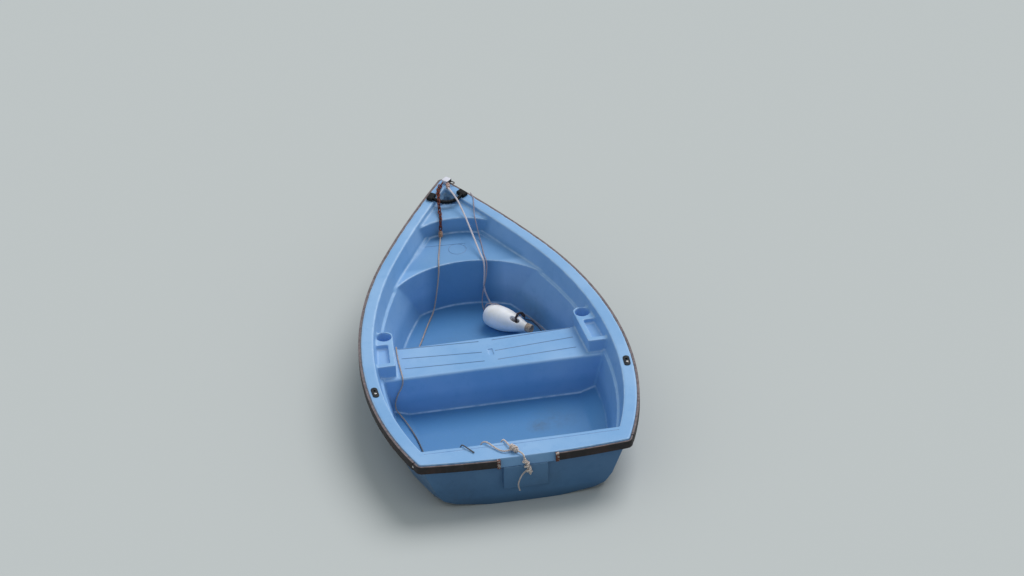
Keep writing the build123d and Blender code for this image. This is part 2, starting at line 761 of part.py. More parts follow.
parts["transom_cap"] -= cap_groove()
recess = extrude(
    top_plane * cockpit_plan(wall_inset + recess_margin), amount=z_floor - z_wall_top, taper=wall_draft)
recess = (recess & box(x_recess_aft, reach, -reach, reach, z_seat, 700)) - below_sheer(foredeck_step + recess_depth)
parts["foredeck"] -= recess


def knot_lump(rows):
    """A knot's outer shape: eight-sided sections along it."""
    spots = [Vector(x, y, z) for x, y, z, radius in rows]
    along = spots[-1] - spots[0]
    wires = [
        (Plane(origin=spot, z_dir=along) * RegularPolygon(row[3], 8)).face().outer_wire()
        for spot, row in zip(spots, rows)
    ]
    return Solid.make_loft(wires, ruled=True)


for name, rows in knots.items():
    parts[name] = knot_lump(rows)


def cord_tube(points, diameter):
    """A cord as a square tube: straight runs joined by the largest tangent arcs that they allow."""
    radii = []
    for before, at, after in zip(points, points[1:], points[2:]):
        run_in = Vector(*at) - Vector(*before)
        run_out = Vector(*after) - Vector(*at)
        half_turn = math.radians(run_in.get_angle(run_out)) / 2
        radii.append(0.45 * min(run_in.length, run_out.length) / math.tan(half_turn))
    line = FilletPolyline(*points, radius=radii)
    section = Plane(origin=line @ 0, z_dir=line % 0) * Rectangle(square_side * diameter, square_side * diameter)
    area = section.area
    tube = sweep(section, line)
    print("radii", [round(radius) for radius in radii])
    print("length", round(line.length), "volume over section times length", round(tube.volume / area / line.length, 4))
    return tube


for name, (diameter, points) in cords.items():
    print(name)
    tube = cord_tube(points, diameter)
    for knot in knots:
        tube -= parts[knot]
    parts[name] = tube

for name, body in parts.items():
    body = body if isinstance(body, list) else [solid_of(body)]
    print(name, len(body), round(sum(piece.volume for piece in body)), all(piece.is_valid for piece in body))
    export_step(body[0] if len(body) == 1 else Compound(body), "parts/" + name + ".step")
print("litres below the water", (outer & level_slab(-300, 0)).volume / 1e6)
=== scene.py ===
import bpy
import json
import math
from mathutils import Matrix, Quaternion, Vector

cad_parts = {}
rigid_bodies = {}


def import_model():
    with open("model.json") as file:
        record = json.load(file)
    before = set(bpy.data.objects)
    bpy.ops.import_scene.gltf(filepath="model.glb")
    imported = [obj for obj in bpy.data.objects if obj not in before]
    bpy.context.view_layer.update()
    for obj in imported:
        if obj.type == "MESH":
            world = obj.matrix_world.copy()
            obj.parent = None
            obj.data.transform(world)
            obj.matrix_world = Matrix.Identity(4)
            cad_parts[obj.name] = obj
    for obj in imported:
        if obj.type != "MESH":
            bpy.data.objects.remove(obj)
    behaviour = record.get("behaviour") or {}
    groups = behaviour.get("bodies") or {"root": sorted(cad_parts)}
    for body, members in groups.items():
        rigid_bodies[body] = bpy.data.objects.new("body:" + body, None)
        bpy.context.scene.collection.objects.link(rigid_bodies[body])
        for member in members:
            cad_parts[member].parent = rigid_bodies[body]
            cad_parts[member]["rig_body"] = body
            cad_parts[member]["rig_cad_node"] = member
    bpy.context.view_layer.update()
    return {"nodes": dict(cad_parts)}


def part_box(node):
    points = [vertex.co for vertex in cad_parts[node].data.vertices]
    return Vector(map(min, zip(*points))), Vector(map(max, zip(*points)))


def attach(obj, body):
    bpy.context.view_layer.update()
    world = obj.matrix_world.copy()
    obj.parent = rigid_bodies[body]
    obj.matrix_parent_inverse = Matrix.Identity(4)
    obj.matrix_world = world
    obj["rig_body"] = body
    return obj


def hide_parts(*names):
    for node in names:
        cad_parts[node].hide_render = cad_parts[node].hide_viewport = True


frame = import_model()
nodes = frame["nodes"]
print("frame loaded:", len(nodes), "nodes")

cameraView = {
    "yaw": -9.01,              # degrees, the line of sight to the boat's centreline
    "pitch": 34.52,            # downwards
    "roll": -2.13,
    "spot": (-58.726, 9.151, 41.399),
    "focalPixels": 13749,      # in a frame of 1024 pixels
    "frameWidth": 1024,
    "sensorWidth": 36,
    "clip": (1, 500),
}
stageLook = {
    "spread": 40,              # how many times the hull's waterline the floor reaches out
    "floorColor": "#C9CCCC",
    "bounceColor": "#6F7C80",  # what the topsides get back from below
    "skyColor": "#E4EDEE",
    "skyStrength": 0.56,
    "keyStrength": 1.72,
    "keyAngle": 40,
    "keyFrom": (0.55, -0.62, 1.15),
}
mergeDistance = 0.00001        # for the loose triangles of a CAD node


def linear(hexColor):
    # sRGB hex to the linear colour that a socket takes
    values = [int(hexColor[i:i + 2], 16) / 255 for i in (1, 3, 5)]
    return [v / 12.92 if v <= 0.04045 else ((v + 0.055) / 1.055) ** 2.4 for v in values] + [1.0]


def addNode(owner, kind, inputs=(), **settings):
    # one node with its settings; an input takes another node's socket, a hex colour or numbers
    node = owner.node_tree.nodes.new("ShaderNode" + kind)
    for name, value in settings.items():
        setattr(node, name, value)
    for name, value in dict(inputs).items():
        if isinstance(value, bpy.types.NodeSocket):
            owner.node_tree.links.new(value, node.inputs[name])
        else:
            node.inputs[name].default_value = linear(value) if isinstance(value, str) else value
    return node.outputs


def emptied(owner):
    # a new material or world with no nodes
    owner.use_nodes = True
    owner.node_tree.nodes.clear()
    return owner


def clearAll():
    if bpy.context.object and bpy.context.object.mode != "OBJECT":
        bpy.ops.object.mode_set(mode="OBJECT")
    bpy.ops.object.select_all(action="DESELECT")


def pickOnly(piece):
    clearAll()
    piece.select_set(True)
    bpy.context.view_layer.objects.active = piece


def editAll():
    bpy.ops.object.mode_set(mode="EDIT")
    bpy.ops.mesh.select_all(action="SELECT")


def editNone():
    bpy.ops.object.mode_set(mode="EDIT")
    bpy.ops.mesh.select_all(action="DESELECT")
    bpy.ops.object.mode_set(mode="OBJECT")


def joined(pieces, name):
    clearAll()
    for piece in pieces:
        piece.select_set(True)
    bpy.context.view_layer.objects.active = pieces[0]
    if len(pieces) > 1:
        bpy.ops.object.join()
    whole = bpy.context.view_layer.objects.active
    whole.name = name
    return whole


def copyOf(piece):
    copy = piece.copy()
    copy.data = piece.data.copy()
    bpy.context.collection.objects.link(copy)
    return copy


def meshCopy(name, *sources):
    # one mesh from copies of CAD nodes, their loose triangles merged
    clearAll()
    copies = [copyOf(nodes[source]) for source in sources]
    for copy in copies:
        copy.parent = None
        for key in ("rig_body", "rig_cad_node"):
            if key in copy:
                del copy[key]
    piece = joined(copies, name)
    piece.data.name = name
    piece.data.materials.clear()
    editAll()
    bpy.ops.mesh.remove_doubles(threshold=mergeDistance)
    bpy.ops.object.mode_set(mode="OBJECT")
    return piece


def applyModifier(piece, kind, **settings):
    bpy.context.view_layer.objects.active = piece
    modifier = piece.modifiers.new(kind.lower(), kind)
    for name, value in settings.items():
        setattr(modifier, name, value)
    bpy.ops.object.modifier_apply(modifier=modifier.name)


def cutAway(piece, tools):
    for tool in tools:
        applyModifier(piece, "BOOLEAN", operation="DIFFERENCE", object=tool, solver="EXACT")
        bpy.data.objects.remove(tool)


def smoothByAngle(piece, degrees):
    pickOnly(piece)
    bpy.ops.object.shade_smooth_by_angle(angle=math.radians(degrees))


def dress(piece, paint):
    piece.data.materials.clear()
    piece.data.materials.append(paint)
    return piece


def standFor(piece, *sources):
    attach(piece, "root")
    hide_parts(*sources)
    return piece


def seat(piece, matrix):
    # moves a piece that was modelled at the origin to its seat, and leaves its object at the origin
    piece.matrix_world = matrix
    pickOnly(piece)
    bpy.ops.object.transform_apply(location=True, rotation=True, scale=True)
    return piece


def frameFrom(along, upish, spot):
    # a matrix with X along and Z as near to upish as it can be
    x = Vector(along).normalized()
    y = Vector(upish).cross(x).normalized()
    z = x.cross(y)
    return Matrix.Translation(spot) @ Matrix((x, y, z)).transposed().to_4x4()


def middleOf(corners):
    return sum(corners, Vector()) / len(corners)


def makeStage():
    # the floor is the water's surface, so it is open where the hull goes through it
    floor = meshCopy("stageFloor", "hull_shell")
    editAll()
    bpy.ops.mesh.bisect(plane_co=(0, 0, 0), plane_no=(0, 0, 1), clear_inner=True, clear_outer=True)
    editNone()
    max(floor.data.vertices, key=lambda v: v.co.x).select = True
    bpy.ops.object.mode_set(mode="EDIT")
    bpy.ops.mesh.select_linked()
    bpy.ops.mesh.select_all(action="INVERT")
    bpy.ops.mesh.delete(type="VERT")
    bpy.ops.mesh.select_all(action="SELECT")
    bpy.ops.mesh.extrude_edges_move()
    far = stageLook["spread"]
    bpy.ops.transform.resize(value=(far, far, 1), center_override=(0, 0, 0))
    bpy.ops.object.mode_set(mode="OBJECT")
    paint = emptied(bpy.data.materials.new("paleFloor"))
    seen = addNode(paint, "BsdfDiffuse", {"Color": stageLook["floorColor"]})[0]
    bounced = addNode(paint, "BsdfDiffuse", {"Color": stageLook["bounceColor"]})[0]
    bounce = addNode(paint, "LightPath")["Is Diffuse Ray"]
    mixed = addNode(paint, "MixShader", {0: bounce, 1: seen, 2: bounced})[0]
    addNode(paint, "OutputMaterial", {"Surface": mixed})
    floor.data.materials.append(paint)

    world = emptied(bpy.data.worlds.new("softSky"))
    bpy.context.scene.world = world
    sky = addNode(world, "Background", {"Color": stageLook["skyColor"], "Strength": stageLook["skyStrength"]})[0]
    addNode(world, "OutputWorld", {"Surface": sky})

    lamp = bpy.data.lights.new("broadKey", "SUN")
    lamp.energy = stageLook["keyStrength"]
    lamp.angle = math.radians(stageLook["keyAngle"])
    key = bpy.data.objects.new("broadKey", lamp)
    bpy.context.collection.objects.link(key)
    key.rotation_mode = "QUATERNION"
    key.rotation_quaternion = Vector(stageLook["keyFrom"]).to_track_quat("Z", "Y")


def placeCamera():
    look = cameraView
    lens = bpy.data.cameras.new("photoCamera")
    lens.sensor_width = look["sensorWidth"]
    lens.lens = look["focalPixels"] * look["sensorWidth"] / look["frameWidth"]
    lens.clip_start, lens.clip_end = look["clip"]
    camera = bpy.data.objects.new("photoCamera", lens)
    bpy.context.collection.objects.link(camera)
    yaw, pitch = math.radians(look["yaw"]), math.radians(look["pitch"])
    sight = Vector((math.cos(pitch) * math.cos(yaw), math.cos(pitch) * math.sin(yaw), -math.sin(pitch)))
    camera.rotation_mode = "QUATERNION"
    level = sight.to_track_quat("-Z", "Y")
    camera.rotation_quaternion = level @ Quaternion((0, 0, 1), math.radians(look["roll"]))
    camera.location = look["spot"]
    bpy.context.scene.camera = camera
    bpy.context.scene.view_settings.view_transform = "Standard"


def blotches(paint, point, size, detail, rough, start, end, least=0.0, most=1.0):
    # an amount from least to most in blotches about size millimetres across
    noise = addNode(paint, "TexNoise", {
        "Vector": point, "Scale": 1000 / size, "Detail": detail, "Roughness": rough})[0]
    return addNode(paint, "MapRange", {
        "Value": noise, "From Min": start, "From Max": end, "To Min": least, "To Max": most})[0]


def band(paint, value, start, full, fall, end):
    # two amounts whose product is 1 from full to fall, and 0 before start and past end
    rising = addNode(paint, "MapRange", {"Value": value, "From Min": start, "From Max": full})[0]
    falling = addNode(paint, "MapRange", {
        "Value": value, "From Min": fall, "From Max": end, "To Min": 1.0, "To Max": 0.0})[0]
    return rising, falling


def nearSpot(paint, point, spot, radius, strength):
    # a soft round patch at a spot in metres, full in the middle 15%
    away = addNode(paint, "VectorMath", {0: point, 1: spot}, operation="DISTANCE")["Value"]
    return addNode(paint, "MapRange", {
        "Value": away, "From Min": 0.15 * radius, "From Max": radius, "To Min": strength, "To Max": 0.0})[0]


def coatOver(paint, color, over, *amounts):
    # a second colour over the first, as thick as the product of its amounts
    amount = amounts[0]
    for factor in amounts[1:]:
        amount = addNode(paint, "Math", {0: amount, 1: factor}, operation="MULTIPLY")[0]
    return addNode(paint, "Mix", {0: amount, 6: color, 7: over}, data_type="RGBA")[2]


def offMiddle(paint, value):
    # how far a value is from a half, to either side
    away = addNode(paint, "Math", {0: value, 1: 0.5}, operation="SUBTRACT")[0]
    return addNode(paint, "Math", {0: away}, operation="ABSOLUTE")[0]


def grained(paint, point, size, detail, rough, depth, strength):
    # the normal of a skin whose grains are size millimetres across and depth metres high
    noise = addNode(paint, "TexNoise", {
        "Vector": point, "Scale": 1000 / size, "Detail": detail, "Roughness": rough})[0]
    return addNode(paint, "Bump", {"Height": noise, "Distance": depth, "Strength": strength})[0]


def finishMaterial(paint, color, roughness, **sockets):
    sockets.update({"Base Color": color, "Roughness": roughness})
    shader = addNode(paint, "BsdfPrincipled", sockets)[0]
    addNode(paint, "OutputMaterial", {"Surface": shader})
    return paint


mouldedHull = {
    "blue": "#7BADE1",
    "fadedBlue": "#8EB9E8",
    "deepBlue": "#5C96D0",
    "scuff": "#B9CFEA",
    # painted highlight and chalk on the rounded edges
    "edgeHighlightAndChalk": "#B4D2F3",
    "stainAndShadeColor": "#52667A",
    "grooveShade": "#355C8E",
    # the colour of the painted shade low in the wells and the bow
    "lowShadeColor": "#4C87BE",
    # size in mm, detail, roughness, from, to, least, most
    "fade": (420, 3, 0.55, 0.38, 0.66),
    "mottle": (60, 6, 0.7, 0.52, 0.78, 0.0, 0.35),
    "highlightAndChalkPatches": (45, 4, 0.55, 0.35, 0.6, 0.25, 0.7),
    "scuffs": (9, 3, 0.8, 0.66, 0.76, 0.0, 0.5),
    "raggedSpots": (30, 5, 0.65, 0.35, 0.65, 0.35, 1.0),
    # the orange peel of rotomoulding, drawn twice as coarse to show: mm, detail, roughness, metres, strength
    "peel": (5, 2, 0.55, 0.0004, 0.35),
    "gloss": (0.42, 0.58),               # roughness of the plain skin and of its mottles
    "edgeFacing": (0.3, 0.5, 0.93, 0.99),   # how far up a rounded edge faces, between a wall and a top
    "edgeBend": (0.006, 0.03),           # how far its pointiness is from a half
    "shadedLow": [
        # from x, to x, below z, strength, share of it on upright walls: painted shade low in the wells, on the bow seat
        # and in the bow recess
        (-1.3, 0.66, 0.12, 0.95, 0.35),
        (0.60, 1.05, 0.30, 0.75, 1.0),
        (0.85, 1.12, 0.387, 0.5, 1.0),
    ],
    "lowShadeEdge": (0.03, 0.05),            # how softly it ends, along and upwards
    "lowShadeFacing": (0.1, 0.8),            # from a wall to a floor
    "grooveEdge": 0.0006,
    "grooveShadeBoxes": [
        # two corners in metres: just under the top of the thwart and of the bow seat, where their grooves get painted
        # shade
        ((-0.236, -0.462, 0.2130), (-0.012, -0.030, 0.2192), 0.65),
        ((-0.236, 0.020, 0.2130), (-0.012, 0.462, 0.2192), 0.65),
        ((0.715, -0.060, 0.2590), (0.835, 0.175, 0.2616), 0.45),
    ],
    "stains": [
        # spot in metres, radius, strength
        ((-0.551, -0.186, -0.010), 0.075, 0.55),
        ((-0.50, -0.30, -0.010), 0.17, 0.3),
        ((0.42, -0.36, -0.005), 0.16, 0.3),
        ((0.20, 0.10, -0.010), 0.22, 0.18),
        # the next two darken the bow recess: painted shade and grime
        ((1.110, 0.005, 0.370), 0.055, 0.9),
        ((1.088, 0.0, 0.345), 0.080, 0.95),
        ((0.898, 0.070, 0.262), 0.07, 0.3),
    ],
}
# the outside: the same plastic with all its colours darker, as painted shade, darker still towards the waterline
shadedOutsideHull = dict(
    mouldedHull, blue="#557EAA", fadedBlue="#5F89B4", deepBlue="#436791", edgeHighlightAndChalk="#7FA3C8", scuff="#8FAAC4",
    lowShadeColor="#3B5A78", shadedLow=[(-1.4, 1.3, 0.06, 0.7, 1.0)], grooveShadeBoxes=[],
    stains=[((-1.22, -0.10, 0.14), 0.14, 0.3), ((-1.20, 0.35, 0.06), 0.2, 0.3), ((0.2, 0.6, 0.05), 0.3, 0.3)])


def hullPlastic(name, look):
    # Rotomoulded polyethylene: even colour through and through, a satin skin with orange peel,
    # chalk and painted highlight on its rounded edges, painted shade low in the wells, in grooves and in the bow
    # recess, scuffs and a few stains
    paint = emptied(bpy.data.materials.new(name))
    places = addNode(paint, "TexCoord")
    point = places["Object"]
    x, y, z = addNode(paint, "SeparateXYZ", {"Vector": point})
    facing = addNode(paint, "SeparateXYZ", {"Vector": places["Normal"]})[2]
    color = coatOver(paint, look["blue"], look["fadedBlue"], blotches(paint, point, *look["fade"]))
    mottle = blotches(paint, point, *look["mottle"])
    color = coatOver(paint, color, look["deepBlue"], mottle)
    (softAlong, softUp), (wall, floor) = look["lowShadeEdge"], look["lowShadeFacing"]
    # painted shade: darker towards the floor of each well and in the bow, less on upright walls
    for fromX, toX, belowZ, strength, onWalls in look["shadedLow"]:
        low = addNode(paint, "MapRange", {
            "Value": z, "From Min": belowZ - softUp, "From Max": belowZ, "To Min": strength, "To Max": 0.0})[0]
        level = addNode(paint, "MapRange", {
            "Value": facing, "From Min": wall, "From Max": floor, "To Min": onWalls, "To Max": 1.0})[0]
        inside = band(paint, x, fromX, fromX + softAlong, toX - softAlong, toX)
        color = coatOver(paint, color, look["lowShadeColor"], low, level, *inside)
    # painted highlight and chalk along rounded edges that face partly up, in patches
    pointed = addNode(paint, "NewGeometry")["Pointiness"]
    bent = addNode(paint, "MapRange", {
        "Value": offMiddle(paint, pointed), "From Min": look["edgeBend"][0], "From Max": look["edgeBend"][1]})[0]
    color = coatOver(
        paint, color, look["edgeHighlightAndChalk"], bent, *band(paint, facing, *look["edgeFacing"]),
        blotches(paint, point, *look["highlightAndChalkPatches"]))
    color = coatOver(paint, color, look["scuff"], blotches(paint, point, *look["scuffs"]))
    soft = look["grooveEdge"]
    # painted shade in the grooves of the thwart and the bow seat
    for low, high, strength in look["grooveShadeBoxes"]:
        amounts = []
        for axis, start, end in zip((x, y, z), low, high):
            amounts += band(paint, axis, start, start + soft, end - soft, end)
        color = coatOver(paint, color, look["grooveShade"], *amounts, strength)
    # stains, and painted shade with grime in the bow recess, all with ragged edges
    ragged = blotches(paint, point, *look["raggedSpots"])
    for spot, radius, strength in look["stains"]:
        color = coatOver(paint, color, look["stainAndShadeColor"], nearSpot(paint, point, spot, radius, strength), ragged)
    plain, mottled = look["gloss"]
    rough = addNode(paint, "MapRange", {
        "Value": mottle, "From Max": look["mottle"][-1], "To Min": plain, "To Max": mottled})[0]
    return finishMaterial(paint, color, rough, IOR=1.51, Normal=grained(paint, point, *look["peel"]))


finishLooks = {
    # base colour; layers: colour, size in mm, detail, roughness, from, to, least, most;
    # grain: size in mm, detail, roughness, depth in metres, strength

    # Extruded rubber: near black, greyed by salt, brown where rust has run over it, and lighter on upward faces: dust
    # and painted sky light
    "weatheredRubber": {
        "base": "#1F1B1D", "roughness": 0.7, "grain": (3, 3, 0.55, 0.0004, 0.4),
        "layers": [("#342D30", 35, 5, 0.55, 0.45, 0.7), ("#402A26", 160, 4, 0.55, 0.55, 0.68, 0.0, 0.7)],
        "dustAndTopLight": {"color": "#8C7D80", "facing": (0.6, 0.95), "most": 0.85, "patches": (22, 5, 0.7, 0.3, 0.6, 0.3, 1.0)}},
    # Injection-moulded nylon, dark, with a dusting of salt
    "mouldedNylon": {
        "base": "#171A20", "roughness": 0.6, "grain": (2, 2, 0.55, 0.0002, 0.3),
        "layers": [("#3A4454", 6, 4, 0.55, 0.5, 0.75, 0.0, 0.6)], "sockets": {"Specular IOR Level": 0.3}},
    # Moulded black rubber with a little salt in its pores
    "mouldedBlackRubber": {
        "base": "#101317", "roughness": 0.7, "grain": (2, 3, 0.55, 0.0003, 0.4),
        "layers": [("#39424C", 7, 5, 0.7, 0.58, 0.75, 0.0, 0.5)], "sockets": {"Specular IOR Level": 0.25}},
    # Galvanised steel that has rusted through: dark scale, red rust, orange bloom and pale spots of zinc
    "rustedSteel": {
        "base": "#331612", "roughness": 0.82, "grain": (2.5, 4, 0.7, 0.0004, 0.7),
        "layers": [
            ("#6E2E25", 12, 5, 0.65, 0.36, 0.58), ("#A9623E", 7, 4, 0.7, 0.54, 0.68, 0.0, 0.9),
            ("#CDB6A4", 11, 3, 0.6, 0.64, 0.7, 0.0, 0.85)]},
    # Galvanised sheet whose pale zinc is flaking off brown rust
    "flakedZinc": {
        "base": "#C4B8B2", "roughness": 0.7, "grain": (2.5, 4, 0.7, 0.0003, 0.6),
        "layers": [("#6B3A2C", 11, 5, 0.65, 0.42, 0.5)], "sockets": {"Metallic": 0.15}},
    # White plastic cover of the padlock, scuffed
    "whiteCover": {
        "base": "#E3E1EE", "roughness": 0.45, "grain": (3, 3, 0.55, 0.0002, 0.3),
        "layers": [("#9C9AA6", 6, 5, 0.7, 0.56, 0.72, 0.0, 0.45)]},
    # Dark moulded plastic round the padlock's keyway
    "darkBase": {"base": "#2A2A30", "roughness": 0.5, "grain": (3, 3, 0.55, 0.0002, 0.3), "layers": []},
    # Blown polyethylene, white, a little grimy round the handle and the neck
    "blownPolyethylene": {
        "base": "#FBFAFF", "roughness": 0.42, "grain": (8, 3, 0.55, 0.0005, 0.25),
        "layers": [("#F3F0F0", 60, 4, 0.55, 0.42, 0.65)], "sockets": {"IOR": 1.5},
        "grime": {
            "color": "#B4ABA6", "patches": (14, 5, 0.7, 0.35, 0.65, 0.3, 1.0),
            # spot in metres, radius, strength
            "spots": [((0.345, -0.215, 0.060), 0.06, 0.5), ((0.285, -0.262, 0.050), 0.05, 0.6)]}},
    # Moulded beige cap, gone brown at its rim
    "mouldedBeigeCap": {
        "base": "#C9B8A8", "roughness": 0.5, "grain": (3, 3, 0.55, 0.0002, 0.3),
        "layers": [("#8A6B58", 9, 4, 0.65, 0.42, 0.62, 0.0, 0.85)]},
}


def makeFinish(name):
    look = finishLooks[name]
    paint = emptied(bpy.data.materials.new(name))
    places = addNode(paint, "TexCoord")
    point = places["Object"]
    color = look["base"]
    for over, *patches in look["layers"]:
        color = coatOver(paint, color, over, blotches(paint, point, *patches))
    if "dustAndTopLight" in look:
        dustAndTopLight = look["dustAndTopLight"]
        facing = addNode(paint, "SeparateXYZ", {"Vector": places["Normal"]})[2]
        # upward faces lighter: dust and painted sky light
        onTop = addNode(paint, "MapRange", {
            "Value": facing, "From Min": dustAndTopLight["facing"][0], "From Max": dustAndTopLight["facing"][1], "To Max": dustAndTopLight["most"]})[0]
        color = coatOver(paint, color, dustAndTopLight["color"], onTop, blotches(paint, point, *dustAndTopLight["patches"]))
    if "grime" in look:
        ragged = blotches(paint, point, *look["grime"]["patches"])
        for spot, radius, strength in look["grime"]["spots"]:
            near = nearSpot(paint, point, spot, radius, strength)
            color = coatOver(paint, color, look["grime"]["color"], near, ragged)
    normal = grained(paint, point, *look["grain"])
    return finishMaterial(paint, color, look["roughness"], Normal=normal, **look.get("sockets", {}))


drawnSteels = {
    # colour, colour of the scratches
    "stainlessSteel": ("#DEDBDB", "#C4C0C0"),
    "dulledPlatedSteel": ("#7A706C", "#4E4240"),
}
steelScratches = {
    "width": 3,                # millimetres, and drawn as coarse as that to show
    "stretch": (1, 1, 6),
    "tint": (0.4, 0.65),
    "roughness": (0.3, 0.7, 0.25, 0.45),   # from, to, least, most
    "metallic": 0.85,
}


def drawnSteel(name):
    # Steel with fine scratches along it: bright on stainless screws, dull where plating has gone
    clean, dull = drawnSteels[name]
    look = steelScratches
    paint = emptied(bpy.data.materials.new(name))
    point = addNode(paint, "TexCoord")["Object"]
    long = addNode(paint, "Mapping", {"Vector": point, "Scale": look["stretch"]})[0]
    scratched = blotches(paint, long, look["width"], 4, 0.55, *look["tint"])
    rough = blotches(paint, long, look["width"], 4, 0.55, *look["roughness"])
    return finishMaterial(paint, coatOver(paint, clean, dull, scratched), rough, Metallic=look["metallic"])


ropeFinishes = {
    # the fibre, the painted shade in the grooves between the strands, the stains
    "paleLaidRope": ("#EAE4EA", "#BFB4BE", "#D0C6CE"),
    "pinkishLaidRope": ("#E8CFC8", "#B8948C", "#CFA49A"),
    "greyTanLaidRope": ("#D2C0B6", "#8E7B72", "#A9968C"),
    "rustStainedRope": ("#DCB89C", "#94604A", "#B06A48"),
    "paleTiedRope": ("#F0E4DE", "#A8938A", "#CDB4A8"),
    "wetDarkRope": ("#4A4046", "#241E22", "#332A2E"),
    # the thin line again, darker: painted shade where it lies by the float
    "shadedThinLine": ("#6C6470", "#38323C", "#524A56"),
    "fadedThinLine": ("#BCB0BA", "#857886", "#9E919E"),
}
ropeWear = {
    "groove": (0.22, 0.5),     # from a strand's crown to the groove beside it
    "yarns": 7.0,              # across a strand in one turn
    "yarnDepth": 0.0006,
    "yarnStrength": 0.5,
    "roughness": 0.9,
    "stains": (26, 5, 0.7, 0.45, 0.68, 0.0, 0.7),
    "wetRope": "greyTanLaidRope",
    "wetEdge": (-0.55, -0.30),  # x in metres: its aft end has lain in water and stays dark
    "wetStrength": 0.85,
    "wetColor": "#3F4650",
}


def ropeFibre(name):
    # Laid fibre: yarns cross the strands at a slant, the grooves between the strands get painted shade
    fibre, grooveShadeColor, stain = ropeFinishes[name]
    look = ropeWear
    paint = emptied(bpy.data.materials.new(name))
    point = addNode(paint, "TexCoord")["Object"]
    lay = addNode(paint, "UVMap", uv_map="lay")[0]
    along, strand = list(addNode(paint, "SeparateXYZ", {"Vector": lay}))[:2]
    across = addNode(paint, "Math", {0: strand}, operation="FRACT")[0]
    groove = addNode(paint, "MapRange", {
        "Value": offMiddle(paint, across), "From Min": look["groove"][0], "From Max": look["groove"][1]})[0]
    # painted shade in the grooves between the strands
    color = coatOver(paint, fibre, grooveShadeColor, groove)
    color = coatOver(paint, color, stain, blotches(paint, point, *look["stains"]))
    if name == look["wetRope"]:
        x = addNode(paint, "SeparateXYZ", {"Vector": point})[0]
        wet = addNode(paint, "MapRange", {
            "Value": x, "From Min": look["wetEdge"][0], "From Max": look["wetEdge"][1],
            "To Min": look["wetStrength"], "To Max": 0.0})[0]
        color = coatOver(paint, color, look["wetColor"], wet)
    slant = addNode(paint, "Math", {0: along, 1: look["yarns"], 2: strand}, operation="MULTIPLY_ADD")[0]
    yarn = offMiddle(paint, addNode(paint, "Math", {0: slant}, operation="FRACT")[0])
    normal = addNode(paint, "Bump", {
        "Height": yarn, "Distance": look["yarnDepth"], "Strength": look["yarnStrength"]})[0]
    return finishMaterial(paint, color, look["roughness"], Normal=normal)


